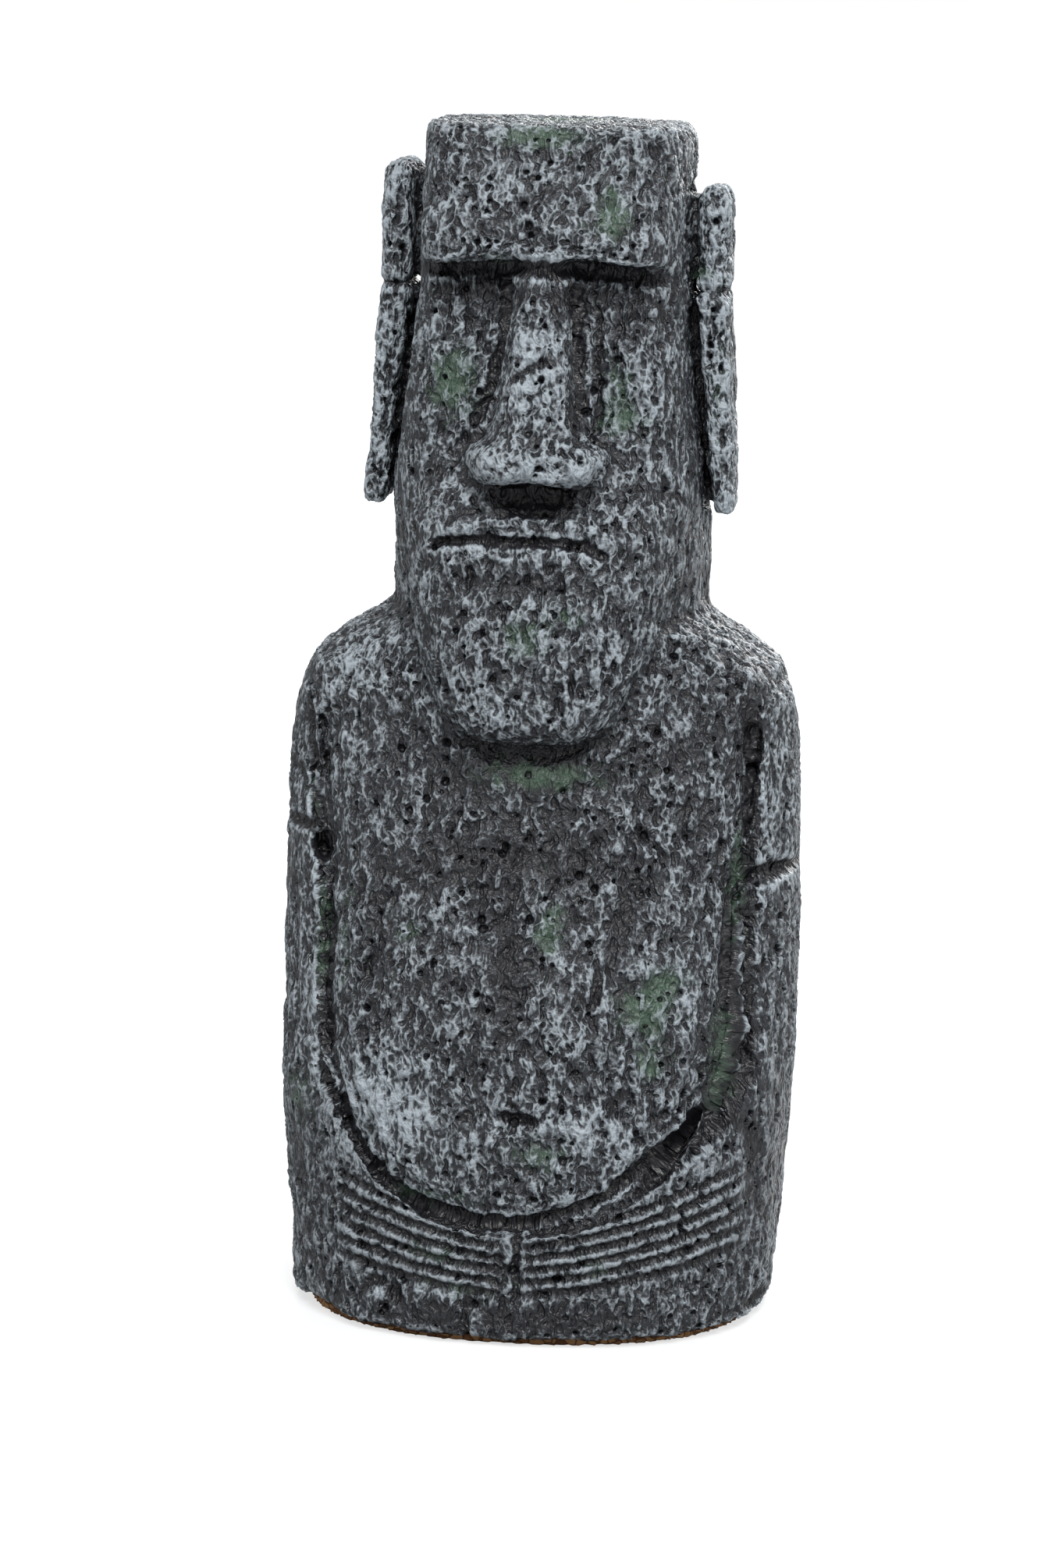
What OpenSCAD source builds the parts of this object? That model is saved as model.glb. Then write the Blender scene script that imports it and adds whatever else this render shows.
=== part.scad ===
// Moai statuette: a hollow cast trunk with the head, ears, arms and hands pegged on.
// Millimetres. The figure faces -Y and stands on Z = 0. "Left" is the figure's own left, at +X.
// Every body shape is a stack of rounded-square rings, so one inset makes the skin, the core
// under the arms and the hollow, and each pocket is the piece that fills it, grown by fit_gap.

/* [Trunk] */
// height of the seat that the head stands on
trunk_height = 89.5; // [70:0.5:140]
// widest place, across both arms
body_width = 65.6; // [50:0.2:110]
// depth from the belly to the back
body_depth = 58; // [44:0.5:90]
// width at the foot
foot_width = 61.4; // [45:0.2:110]
// width across the shoulder corners
shoulder_width = 59.6; // [45:0.2:105]
// width of the neck where it meets the shoulders
neck_width = 40.4; // [30:0.2:70]
// depth of the neck, front to back
neck_depth = 31; // [24:0.5:60]
// how far the shoulder corners lie below the head seat
shoulder_drop = 7; // [3:0.5:16]
// height of the plain band under the hands
plinth_height = 6.8; // [4:0.2:14]
// thickness of the casting, arms included
wall = 10.5; // [8.5:0.5:16]

/* [Head] */
// crown to the underside of the chin
head_height = 75.6; // [56:0.2:120]
// how far the chin hangs below the head seat
chin_drop = 15.1; // [8:0.1:22]
// width of the crown
crown_width = 34; // [28:0.2:60]
// width across the front corners of the forehead
forehead_width = 30.4; // [22:0.2:52]
// width across the front corners of the cheeks
cheek_width = 35.8; // [28:0.2:60]
// reach of the face in front of the centre
face_reach = 17.8; // [14:0.1:24]
// reach of the head behind the centre
nape_reach = 15.5; // [10:0.5:28]
// crown to the underside of the brow
brow_drop = 16.8; // [10:0.2:28]
// how far the brow stands out over the face
brow_overhang = 2.3; // [1:0.1:4]
// depth of the eye hollows under the brow
eye_depth = 2.6; // [1:0.1:4]
// width of the bridge of the nose
nose_width = 8.2; // [5:0.1:14]
// width across the nostril wings
wing_width = 19.8; // [13:0.1:30]
// brow to the underside of the nose
nose_length = 26.6; // [20:0.2:44]
// how far the tip of the nose stands out from the face
nose_reach = 8.1; // [5:0.1:9]
// width of the mouth line
mouth_width = 22; // [14:0.2:27]
// height of the mouth line's groove
mouth_gap = 0.7; // [0.4:0.1:2]
// how far the mouth sits to the right of the nose
mouth_shift = 1.8; // [-4:0.1:4]
// width of the chin block level with the neck seat
chin_width = 31; // [22:0.2:40]
// how far the chin stands out from the face
chin_reach = 7.4; // [4:0.1:9]
// lean of the head towards its left, in degrees
head_lean = 0.2; // [-3:0.1:3]

/* [Ears] */
// top of the ear to the bottom of the lobe
ear_height = 43.2; // [30:0.2:64]
// how far the right ear's top lies below the crown
ear_drop = 5; // [2:0.2:12]
// how much lower the left ear's top is
ear_step = 2.2; // [0:0.1:5]
// front to back size of the ear
ear_depth = 13; // [9:0.5:24]
// thickness of the ear slab
ear_thickness = 4.2; // [2:0.1:6]
// how much thinner the ear gets towards the foot of its lobe
ear_taper = 1.5; // [0:0.1:1.5]
// length of the upper ear, above the slit
upper_ear_height = 15.5; // [10:0.5:26]
// height of the slit between the upper ear and the lobe
ear_slit = 0.3; // [0.2:0.1:2]
// open channel between the ear slab and the head
ear_channel = 0.6; // [0.4:0.1:2]
// depth of the pocket that takes the ear's root
ear_seat = 1.4; // [0.8:0.1:3]

/* [Arms and hands] */
// thickness of the arms over the core
arm_thickness = 4.4; // [3:0.1:6]
// how far the arms reach behind the centre
arm_back = 4; // [0:0.5:8]
// half width of the belly between the arms
belly_half = 25.3; // [18:0.1:44]
// lowest point of the belly over the fingertips
belly_floor = 14.8; // [11:0.1:26]
// height where the upper arm meets the forearm
elbow_level = 59; // [44:0.5:90]
// height where the forearm meets the hand
wrist_level = 30.5; // [22:0.5:44]
// top of the upper arm below the head seat
arm_top_drop = 10.5; // [8:0.5:20]
// number of fingers on each hand
finger_count = 5; // [3:1:7]
// how far the fingers rise from their tips to the knuckles
finger_rise = 7; // [2:0.5:12]
// depth of the grooves between the fingers
finger_groove = 0.9; // [0.3:0.1:1.4]
// depth of the furrow round the edge of the belly
belly_furrow = 1.5; // [0.4:0.1:3]

/* [Joints] */
// play between a piece and the pocket it sits in, on each side
fit_gap = 0.12; // [0.05:0.01:0.4]
// diameter of the two neck pegs
neck_peg_diameter = 6; // [4:0.1:9]
// length of the neck pegs
neck_peg_length = 22; // [12:1:30]
// distance between the neck pegs
neck_peg_spacing = 17; // [12:0.5:26]
// diameter of the ear and arm pegs
peg_diameter = 3; // [2:0.1:4]
// length of an ear peg
ear_peg_length = 9; // [6:0.5:12]
// length of an arm or hand peg
arm_peg_length = 5; // [4:0.5:7]
// radial play of a peg in its hole
peg_gap = 0.04; // [0.02:0.01:0.2]

/* [Base] */
// thickness of the plate that closes the hollow
plate_thickness = 3; // [2:0.1:5]
// width of the ledge that the plate rests on
plate_ledge = 4.6; // [3.5:0.1:6]
// thickness of the cork pad
pad_thickness = 1; // [0.6:0.1:3]
// how far the pad lies inside the foot
pad_inset = 2.2; // [0.5:0.1:4]
// shank diameter of the plate screws
screw_diameter = 2.4; // [2:0.1:3]
// length of the plate screws, head included
screw_length = 9; // [6:0.5:14]

/* [Hidden] */

stone = [0.20, 0.21, 0.22];
peg_wood = [0.72, 0.58, 0.40];
plate_grey = [0.45, 0.45, 0.44];
steel = [0.62, 0.63, 0.65];
cork = [0.55, 0.33, 0.18];

ring_points = 44;
skin_levels = 26;
front_square = 2.3;
back_square = 3;
neck_square = 5;
round_fn = 32;
far = 200;
sliver = 0.01;

// levels of the trunk, from the table up
foot_z = pad_thickness;
neck_z = trunk_height;
shoulder_z = neck_z - shoulder_drop;
hip_z = wrist_level;
waist_z = (hip_z + elbow_level) / 2;
chest_z = (elbow_level + shoulder_z) / 2;
arm_top_z = neck_z - arm_top_drop;
cavity_top_z = neck_z - neck_peg_length / 2 - wall / 2;

// levels of the head
chin_z = neck_z - chin_drop;
crown_z = chin_z + head_height;
brow_z = crown_z - brow_drop;
nose_z = brow_z - nose_length;
mouth_z = nose_z - (nose_z - chin_z) * 0.24;
cheek_z = nose_z - (nose_z - chin_z) * 0.1;

// half sizes that several pieces share
belly_reach = body_depth / 2;
back_reach = body_depth / 2;
neck_front = neck_depth / 2;
neck_back = neck_depth / 2;
nose_front = face_reach + nose_reach;
chin_front = face_reach + chin_reach;
brow_front = face_reach + brow_overhang;

// ears
ear_top_z = crown_z - ear_drop;
low_ear_top_z = ear_top_z - ear_step;
ear_bottom_z = ear_top_z - ear_height;
slit_z = ear_top_z - upper_ear_height;
root_margin = 0.5;
ear_pit_depth = 1.2;
ear_pit_width = 2.6;
ear_peg_forward = 0.83;
peg_end_gap = 0.2;
belly_square = 0.83;
ear_front = 6;
root_front = 1.5;
ear_back = ear_depth - ear_front;

// plate and screws
plate_z = foot_z;
screw_head = 2 * screw_diameter;
screw_count = 4;

function mix(a, b, t) = a + (b - a) * t;

// Value at z of a smooth curve through the [level, value] pairs of a list.
function curve(list, z) =
    let (last = len(list) - 1,
         at = [for (i = [0 : last - 1]) if (z >= list[i][0]) i],
         i = len(at) == 0 ? 0 : at[len(at) - 1],
         a = list[i],
         b = list[i + 1],
         before = list[max(i - 1, 0)],
         after = list[min(i + 2, last)],
         step = b[0] - a[0],
         t = min(max((z - a[0]) / step, 0), 1),
         ma = (b[1] - before[1]) / (b[0] - before[0]) * step,
         mb = (after[1] - a[1]) / (after[0] - a[0]) * step)
    (2 * pow(t, 3) - 3 * t * t + 1) * a[1] + (pow(t, 3) - 2 * t * t + t) * ma
    + (3 * t * t - 2 * pow(t, 3)) * b[1] + (pow(t, 3) - t * t) * mb;

// One level ring. half, front and back are its reaches; square_front and square_back say how
// square it is (2 is an ellipse); pinch narrows its front.
function ring(z, half, front, back, square_front, square_back, pinch = 0) = [
    for (i = [0 : ring_points - 1])
        let (a = 360 * (i + 0.5) / ring_points,
             square = sin(a) < 0 ? square_front : square_back,
             u = sign(cos(a)) * pow(abs(cos(a)), 2 / square),
             v = sign(sin(a)) * pow(abs(sin(a)), 2 / square),
             narrow = 1 - pinch * max(0, -v))
        [half * u * narrow, v < 0 ? front * v : back * v, z]];

// Solid through a stack of rings with the same number of points.
module loft(rings) {
    count = len(rings[0]);
    levels = len(rings);
    points = [for (r = rings) for (p = r) p];
    sides = [for (j = [0 : levels - 2]) for (i = [0 : count - 1])
        let (n = (i + 1) % count)
        each [[j * count + i, (j + 1) * count + i, j * count + n],
              [j * count + n, (j + 1) * count + i, (j + 1) * count + n]]];
    bottom = [for (i = [0 : count - 1]) i];
    top = [for (i = [count - 1 : -1 : 0]) (levels - 1) * count + i];
    polyhedron(points, concat([bottom, top], sides), convexity = 8);
}

// Keeps a sculpted shape as one faceted solid.
module faceted() {
    resize([0, 0, 0]) children();
}

// Leans the head and what it carries; a level stays level, so the neck seat is unchanged.
module leaning() {
    slope = tan(head_lean);
    multmatrix([[1, 0, slope, -slope * neck_z], [0, 1, 0, 0], [0, 0, 1, 0], [0, 0, 0, 1]]) children();
}

module both_sides() {
    children();
    mirror([1, 0, 0]) children();
}

module side(which) {
    mirror([which < 0 ? 1 : 0, 0, 0]) children();
}

// Trunk

half_curve = [[0, foot_width / 2], [plinth_height, mix(foot_width, body_width, 0.1) / 2],
              [belly_floor, mix(foot_width, body_width, 0.45) / 2], [hip_z, body_width / 2 - 0.1],
              [waist_z, body_width / 2], [elbow_level, body_width / 2 - 0.2],
              [chest_z + 4, body_width / 2 - 0.9], [shoulder_z, shoulder_width / 2],
              [mix(shoulder_z, neck_z, 0.55), mix(shoulder_width, neck_width, 0.45) / 2],
              [neck_z, neck_width / 2]];
front_curve = [[0, belly_reach - 0.5], [plinth_height, belly_reach - 0.4],
               [belly_floor, belly_reach - 0.2], [hip_z, belly_reach],
               [waist_z, belly_reach - 1.2], [elbow_level, mix(neck_front, belly_reach, 0.6)],
               [chest_z, mix(neck_front, belly_reach, 0.36)], [shoulder_z, neck_front + 1.2],
               [neck_z, neck_front]];
back_curve = [[0, back_reach - 0.3], [hip_z, back_reach], [waist_z, back_reach - 0.4],
              [elbow_level, back_reach - 1.4], [chest_z, mix(neck_back, back_reach, 0.6)],
              [shoulder_z, mix(neck_back, back_reach, 0.25)], [neck_z, neck_back]];

square_curve = [[0, front_square], [shoulder_z - 8, front_square], [neck_z, neck_square]];
pinch_curve = [[0, 0], [shoulder_z - 4, 0], [neck_z, 1 - (cheek_width - 5) / neck_width]];

// The outside of the body, drawn in by inset.
module body_skin(inset) {
    loft([for (j = [0 : skin_levels])
        let (z = mix(foot_z, neck_z, j / skin_levels))
        ring(z, curve(half_curve, z) - inset, curve(front_curve, z) - inset,
             curve(back_curve, z) - inset, curve(square_curve, z), back_square,
             curve(pinch_curve, z))]);
}

// Where the skin drawn in by inset lies: its reach forward at x, and its reach sideways at y.
function front_at(x, z, inset) = (curve(front_curve, z) - inset)
    * pow(1 - pow(x / (curve(half_curve, z) - inset), front_square), 1 / front_square);
function side_at(y, z, inset) = (curve(half_curve, z) - inset)
    * pow(1 - pow(-y / (curve(front_curve, z) - inset), front_square), 1 / front_square);

// Outline of the belly seen from the front; grow moves its edge outwards.
function belly_edge(grow) =
    let (half = belly_half + grow,
         depth = waist_z - belly_floor + grow,
         bow = [for (i = [0 : 24])
             let (a = 180 * i / 24)
             [-half * sign(cos(a)) * pow(abs(cos(a)), belly_square), waist_z - depth * pow(sin(a), belly_square)]])
    concat(bow, [[belly_half + 0.1 + grow, elbow_level - 3], [belly_half + 1.6 + grow, elbow_level + 5],
                 [belly_half + 2.6 + grow, arm_top_z], [belly_half + 2.6 + grow, crown_z],
                 [-belly_half - 2.6 - grow, crown_z], [-belly_half - 2.6 - grow, arm_top_z],
                 [-belly_half - 1.6 - grow, elbow_level + 5], [-belly_half - 0.1 - grow, elbow_level - 3]]);

module belly_prism(grow) {
    rotate([90, 0, 0]) linear_extrude(far, center = true) polygon(belly_edge(grow));
}

// Space that an arm piece may fill on the left side, between two heights.
module arm_zone(from_z, to_z, grow) {
    difference() {
        translate([-grow, -far / 2, from_z - grow])
            cube([far, far / 2 + arm_back + grow, to_z - from_z + 2 * grow]);
        belly_prism(-grow);
    }
}

// Everything outside the core that the arms are laid on.
module outside_core(inset) {
    difference() {
        translate([-far / 2, -far / 2, 0]) cube([far, far, arm_top_z + wall]);
        body_skin(inset);
    }
}

// One piece of the left arm, cut from the skin.
module arm_piece(from_z, to_z) {
    intersection() {
        body_skin(0);
        arm_zone(from_z, to_z, 0);
        outside_core(arm_thickness);
    }
}

// Pocket for the whole left arm, from the plinth to the shoulder.
module arm_pocket() {
    intersection() {
        arm_zone(plinth_height, arm_top_z, fit_gap);
        outside_core(arm_thickness + fit_gap);
    }
}

module navel() {
    translate([0, -belly_reach, belly_floor + 13])
        scale([2.3, 1, 0.7]) sphere(1, $fn = 16);
}

// Furrow that sets the belly back from the arms, in two steps.
module belly_border() {
    for (step = [[-1.3, belly_furrow], [-3.2, belly_furrow * 0.45]]) intersection() {
        difference() {
            belly_prism(0.5);
            belly_prism(step[0]);
        }
        outside_core(step[1]);
        translate([-far / 2, -far, 0]) cube([far, far, arm_top_z - 3]);
    }
}

// Rounded ridge round the throat, under the chin.
module collar() {
    intersection() {
        body_skin(-0.8);
        translate([0, -neck_front, neck_z]) rotate([90, 0, 0])
            linear_extrude(far, center = true) difference() {
                scale([chin_width / 2 + 2.4, chin_drop + 6.2]) circle(1, $fn = 40);
                scale([chin_width / 2 - 0.6, chin_drop + 2.4]) circle(1, $fn = 40);
            }
        translate([-far / 2, -far, 0]) cube([far, far - 6, shoulder_z]);
    }
}

module cavity() {
    intersection() {
        body_skin(wall);
        translate([-far / 2, -far / 2, 0]) cube([far, far, cavity_top_z]);
    }
}

module trunk() {
    color(stone) difference() {
        faceted() {
            difference() {
                union() {
                    body_skin(0);
                    collar();
                }
                both_sides() arm_pocket();
                belly_border();
                leaning() hanging_chin(fit_gap);
                navel();
                cavity();
                plate_recess();
            }
        }
        neck_peg_holes();
        arm_peg_holes();
        screw_holes();
    }
}

// Arms and hands, drawn for the left side

module upper_arm(which) {
    color(stone) difference() {
        side(which) faceted() difference() {
            arm_piece(elbow_level + fit_gap / 2, arm_top_z);
            elbow_notch();
        }
        arm_peg_holes();
    }
}

module forearm(which) {
    color(stone) difference() {
        side(which) faceted() difference() {
            arm_piece(wrist_level + fit_gap / 2, elbow_level - fit_gap / 2);
            elbow_notch();
        }
        arm_peg_holes();
    }
}

// The nick at the front of the elbow, shared by both arm pieces.
module elbow_notch() {
    translate([belly_half + 3, -belly_reach, elbow_level]) rotate([0, 20, 0])
        cube([9, 2 * belly_reach - 24, 2], center = true);
}

// Groove between two fingers, as a blade that bows up from the fingertips to the knuckles.
module finger_blade(index) {
    tip_z = belly_floor - index * (belly_floor - plinth_height) / finger_count;
    length = belly_half - 1;
    width = 0.55;
    bow = [for (i = [0 : 8]) [length * i / 8, tip_z + finger_rise * pow(i / 8, 1.25)]];
    rotate([90, 0, 0]) linear_extrude(far, center = true)
        polygon(concat([for (p = bow) [p[0], p[1] + width / 2]],
                       [for (i = [8 : -1 : 0]) [bow[i][0], bow[i][1] - width / 2]]));
}

module hand(which) {
    color(stone) difference() {
        side(which) faceted() difference() {
            intersection() {
                arm_piece(plinth_height, wrist_level - fit_gap / 2);
                translate([fit_gap / 2, -far / 2, 0]) cube(far);
            }
            intersection() {
                union() for (i = [1 : finger_count - 1]) finger_blade(i);
                outside_core(finger_groove);
            }
        }
        arm_peg_holes();
    }
}

// Pegs of the left arm, on the core's surface: [direction of the peg, x, y, z].
function side_peg(y, z) = [90, side_at(y, z, arm_thickness), y, z];
function front_peg(x, z) = [0, x, -front_at(x, z, arm_thickness), z];
arm_peg_places = [
    side_peg(-7, mix(elbow_level, arm_top_z, 0.35)), side_peg(-1.5, mix(elbow_level, arm_top_z, 0.7)),
    side_peg(-7, mix(wrist_level, elbow_level, 0.25)), side_peg(-1.5, mix(wrist_level, elbow_level, 0.75)),
    front_peg(belly_half * 0.32, mix(plinth_height, belly_floor, 0.45)),
    front_peg(belly_half * 0.7, mix(plinth_height, belly_floor, 0.65))];

module at_arm_pegs() {
    both_sides() for (p = arm_peg_places)
        translate([p[1], p[2], p[3]]) rotate([90, 0, p[0]]) children();
}

module arm_peg_holes() {
    at_arm_pegs() cylinder(h = arm_peg_length + 0.4, d = peg_diameter + 2 * peg_gap,
                           center = true, $fn = round_fn);
}

module arm_pegs() {
    color(peg_wood) at_arm_pegs()
        cylinder(h = arm_peg_length, d = peg_diameter, center = true, $fn = round_fn);
}

// Head

head_half_curve = [[neck_z, neck_width / 2], [mouth_z, neck_width / 2 - 0.1],
                   [nose_z, neck_width / 2 - 0.5], [brow_z - 10, crown_width / 2 + 0.5],
                   [brow_z, crown_width / 2], [crown_z - 2, crown_width / 2 - 0.1],
                   [crown_z - 0.7, crown_width / 2 - 0.6], [crown_z, crown_width / 2 - 1.6]];
cheek_curve = [[neck_z, cheek_width / 2 - 2.5], [cheek_z, cheek_width / 2],
               [brow_z - 11, (cheek_width + forehead_width) / 4],
               [brow_z, forehead_width / 2 + 0.4]];
face_curve = [[neck_z, neck_front + 0.4], [cheek_z - 4, face_reach - 1], [cheek_z, face_reach - 0.2],
              [nose_z + 8, face_reach], [brow_z, face_reach - 0.4]];

// Cheeks, jaw and nape, up to the brow.
module lower_head() {
    levels = 14;
    loft([for (j = [0 : levels])
        let (z = mix(neck_z, brow_z + sliver, j / levels),
             half = curve(head_half_curve, z))
        ring(z, half, curve(face_curve, z), nape_reach, neck_square, 3.4,
             1 - curve(cheek_curve, z) / half)]);
}

// Forehead and crown, from the brow up.
module upper_head() {
    forehead = [[brow_z, brow_front], [brow_z + 3.5, brow_front - 0.2],
                [brow_z + 9, brow_front - 2.4], [crown_z - 0.9, face_reach - 2.3],
                [crown_z, face_reach - 3.3]];
    levels = 9;
    loft([for (j = [0 : levels])
        let (z = brow_z + (crown_z - brow_z) * (1 - pow(1 - j / levels, 1.6)),
             half = curve(head_half_curve, z))
        ring(z, half, curve(forehead, z), nape_reach, 7, 3.4,
             1 - forehead_width / 2 / half)]);
}

// Hollow under the brow on one side of the nose: deepest at the top and beside the nose.
module eye_hollow() {
    inner = nose_width / 2 + 0.2;
    outer = forehead_width / 2 + 0.8;
    thin = 0.1;
    hull() {
        translate([inner, -far / 8, brow_z - thin])
            cube([0.7 * (outer - inner), far / 8 - face_reach + eye_depth, thin]);
        translate([outer, -far / 8, brow_z - thin]) cube([thin, far / 8 - face_reach, thin]);
        translate([inner, -far / 8, mix(nose_z, brow_z, 0.25)])
            cube([0.9 * (outer - inner), far / 8 - face_reach, thin]);
    }
}

module nose() {
    wing = wing_width / 2;
    bridge = nose_width / 2;
    tip = nose_front;
    stations = [[nose_z, wing - 1.8, tip - 1.5], [nose_z + 0.7, wing - 0.6, tip - 0.5],
                [nose_z + 2.2, wing, tip], [nose_z + 3.8, wing - 0.2, tip - 0.2],
                [nose_z + 4.8, wing - 1.2, tip - 0.7], [nose_z + 5.4, bridge + 3.6, tip - 1.4],
                [nose_z + 6.4, bridge + 2.7, tip - 1.7], [nose_z + 9, bridge + 2, tip - 2.1],
                [nose_z + 15, bridge + 1, tip - 3], [nose_z + 21, bridge + 0.4, tip - 4.2],
                [brow_z - 1, bridge, tip - 5.2], [brow_z + 0.8, bridge - 0.2, tip - 5.5]];
    loft([for (s = stations) ring(s[0], s[1], s[2], 0, 4, 4)]);
}

// Mouth and chin block, widened by grow.
module chin_block(grow) {
    half = chin_width / 2;
    front = chin_front;
    drop = nose_z - chin_z;
    stations = [[0, half - 11, front - 4], [0.012, half - 8.2, front - 2],
                [0.045, half - 5.8, front - 0.8],
                [0.1, half - 3.8, front - 0.2], [0.18, half - 2.3, front], [0.3, half - 0.8, front],
                [0.46, half + 0.4, front - 0.5], [0.6, half + 1.2, front - 1.3], [0.7, half + 1.8, front - 1.9],
                [0.76, half + 2, front - 2.3], [0.82, half + 2.1, front - 2.5],
                [0.88, half + 2.1, front - 3.2], [0.95, half + 1.9, front - 4.3],
                [1.02, half + 1.4, front - 5.5], [1.08, half + 0.8, front - 6.6],
                [1.16, half, front - 8.2]];
    intersection() {
        loft([for (s = stations)
            ring(chin_z + drop * s[0] + (s[0] == 0 ? -grow : 0), s[1] + grow, s[2] + grow, 2, 4, 4)]);
        translate([-far / 2, -far - 8, 0]) cube([far, far, far]);
    }
}

// The chin block with its back cut away where it hangs in front of the neck.
module hanging_chin(grow) {
    difference() {
        chin_block(grow);
        translate([-far / 2, -neck_front + 0.6 + grow, -far + neck_z]) cube(far);
    }
}

module mouth_line() {
    difference() {
        translate([-mouth_width / 2 - mouth_shift, -far - 10, mouth_z - mouth_gap / 2])
            cube([mouth_width, far, mouth_gap]);
        chin_block(-1.3);
    }
}

module philtrum() {
    translate([0, -chin_front + 0.8, nose_z - 1.6]) scale([6, 4.2, 2.2]) sphere(1, $fn = 20);
}

module head() {
    color(stone) difference() {
        faceted() leaning() {
            difference() {
                union() {
                    difference() {
                        lower_head();
                        both_sides() eye_hollow();
                    }
                    upper_head();
                    hanging_chin(0);
                    nose();
                }
                mouth_line();
                philtrum();
                for (which = [-1, 1]) side(which) {
                    ear_root_space(fit_gap, slit_z + ear_slit, ear_top(which));
                    ear_root_space(fit_gap, ear_bottom_z, slit_z);
                }
            }
        }
        neck_peg_holes();
        ear_peg_holes();
    }
}

module neck_peg_holes() {
    for (s = [-1, 1]) translate([s * neck_peg_spacing / 2, 0, neck_z])
        cylinder(h = neck_peg_length + 1, d = neck_peg_diameter + 2 * peg_gap,
                 center = true, $fn = round_fn);
}

module neck_pegs() {
    color(peg_wood) for (s = [-1, 1]) translate([s * neck_peg_spacing / 2, 0, neck_z])
        cylinder(h = neck_peg_length, d = neck_peg_diameter, center = true, $fn = round_fn);
}

// Ears, drawn for the left side

function ear_top(which) = which > 0 ? low_ear_top_z : ear_top_z;

// Where the head's side is at height z.
function head_side(z) = curve(head_half_curve, z);

// The root of an ear, between two heights, let into the head's side.
module ear_root_space(grow, from_z, to_z) {
    hull() for (z = [from_z + root_margin - grow, to_z - root_margin + grow])
        translate([head_side(z) - ear_seat - grow, -root_front - grow, z - 0.01])
            cube([ear_seat + ear_channel + 0.6 + grow, root_front + ear_back - 1 + 2 * grow, 0.02]);
}

// How far out the ear's outer face is at a height.
function ear_face(z) = head_side(z) + ear_channel + ear_thickness
    - ear_taper * max(0, (slit_z - z) / (slit_z - ear_bottom_z));

// Slab of the ear between two heights, standing clear of the head. round_top rounds its top.
module ear_slab(from_z, to_z, round_top) {
    half = ear_thickness / 2;
    foot = (ear_face(from_z) - head_side(from_z) - ear_channel) / 2;
    hull() {
        for (y = [-ear_front + 1, ear_back - 1])
            translate([head_side(from_z) + ear_channel + foot, y, from_z + 0.6])
                scale([foot, 1, 0.6]) sphere(1, $fn = 12);
        for (y = [-ear_front + round_top, ear_back - round_top])
            translate([head_side(to_z) + ear_channel + half, y, to_z - round_top])
                scale([half, round_top, round_top]) sphere(1, $fn = 16);
    }
}

module upper_ear(which) {
    color(stone) difference() {
        faceted() leaning() side(which) {
            difference() {
                union() {
                    ear_slab(slit_z + ear_slit, ear_top(which), 2.4);
                    ear_root_space(0, slit_z + ear_slit, ear_top(which) - 1);
                }
                translate([ear_face(slit_z), -ear_front + 4, slit_z + 6])
                    rotate([0, 90, 0]) cylinder(h = 2 * ear_pit_depth, d = ear_pit_width, center = true, $fn = 20);
            }
        }
        ear_peg_holes();
    }
}

module ear_lobe(which) {
    color(stone) difference() {
        faceted() leaning() side(which) {
            difference() {
                union() {
                    ear_slab(ear_bottom_z, slit_z, 0.8);
                    ear_root_space(0, ear_bottom_z + 1, slit_z);
                }
                // shallow trough down the outer face
                hull() for (z = [ear_bottom_z + 6, slit_z - 5])
                    translate([ear_face(z) + 1, 0.5, z])
                        scale([1.2, 3, 3]) sphere(1, $fn = 12);
            }
        }
        ear_peg_holes();
    }
}

ear_peg_levels = [mix(slit_z, low_ear_top_z, 0.57), mix(ear_bottom_z, slit_z, 0.52)];

module at_ear_pegs() {
    for (z = ear_peg_levels) translate([tan(head_lean) * (z - neck_z), 0, 0]) both_sides()
        translate([ear_face(z) - 1, ear_back / 2 - ear_peg_forward, z])
            rotate([0, -90, 0]) children();
}

module ear_peg_holes() {
    at_ear_pegs() translate([0, 0, -peg_end_gap])
        cylinder(h = ear_peg_length + 2 * peg_end_gap, d = peg_diameter + 2 * peg_gap, $fn = round_fn);
}

module ear_pegs() {
    color(peg_wood) at_ear_pegs()
        cylinder(h = ear_peg_length, d = peg_diameter, $fn = round_fn);
}

// Base

// Point of the foot's outline at angle a, drawn in by inset.
function foot_point(a, inset) =
    let (square = sin(a) < 0 ? front_square : back_square)
    [(foot_width / 2 - inset) * sign(cos(a)) * pow(abs(cos(a)), 2 / square),
     (belly_reach - 0.5 - inset) * sign(sin(a)) * pow(abs(sin(a)), 2 / square)];

module plate_shape(inset) {
    polygon([for (i = [0 : 2 * ring_points - 1]) foot_point(180 * (i + 0.5) / ring_points, inset)]);
}

module plate_recess() {
    translate([0, 0, foot_z - 1])
        linear_extrude(plate_thickness + 1) plate_shape(wall - plate_ledge - fit_gap);
}

module at_screws() {
    for (i = [0 : screw_count - 1])
        translate(concat(foot_point(360 / screw_count * (i + 0.5), wall - plate_ledge / 2 + 0.2), plate_z))
            children();
}

module base_plate() {
    color(plate_grey) difference() {
        translate([0, 0, plate_z]) linear_extrude(plate_thickness) plate_shape(wall - plate_ledge);
        at_screws() {
            translate([0, 0, -1]) cylinder(h = far / 10, d = screw_diameter + 2 * fit_gap, $fn = round_fn);
            translate([0, 0, -sliver])
                cylinder(h = screw_head / 4 + fit_gap, d1 = screw_head + 2 * fit_gap, d2 = screw_diameter,
                         $fn = round_fn);
        }
    }
}

module screw_holes() {
    at_screws() cylinder(h = screw_length + 0.5, d = screw_diameter + 2 * peg_gap, $fn = round_fn);
}

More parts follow.
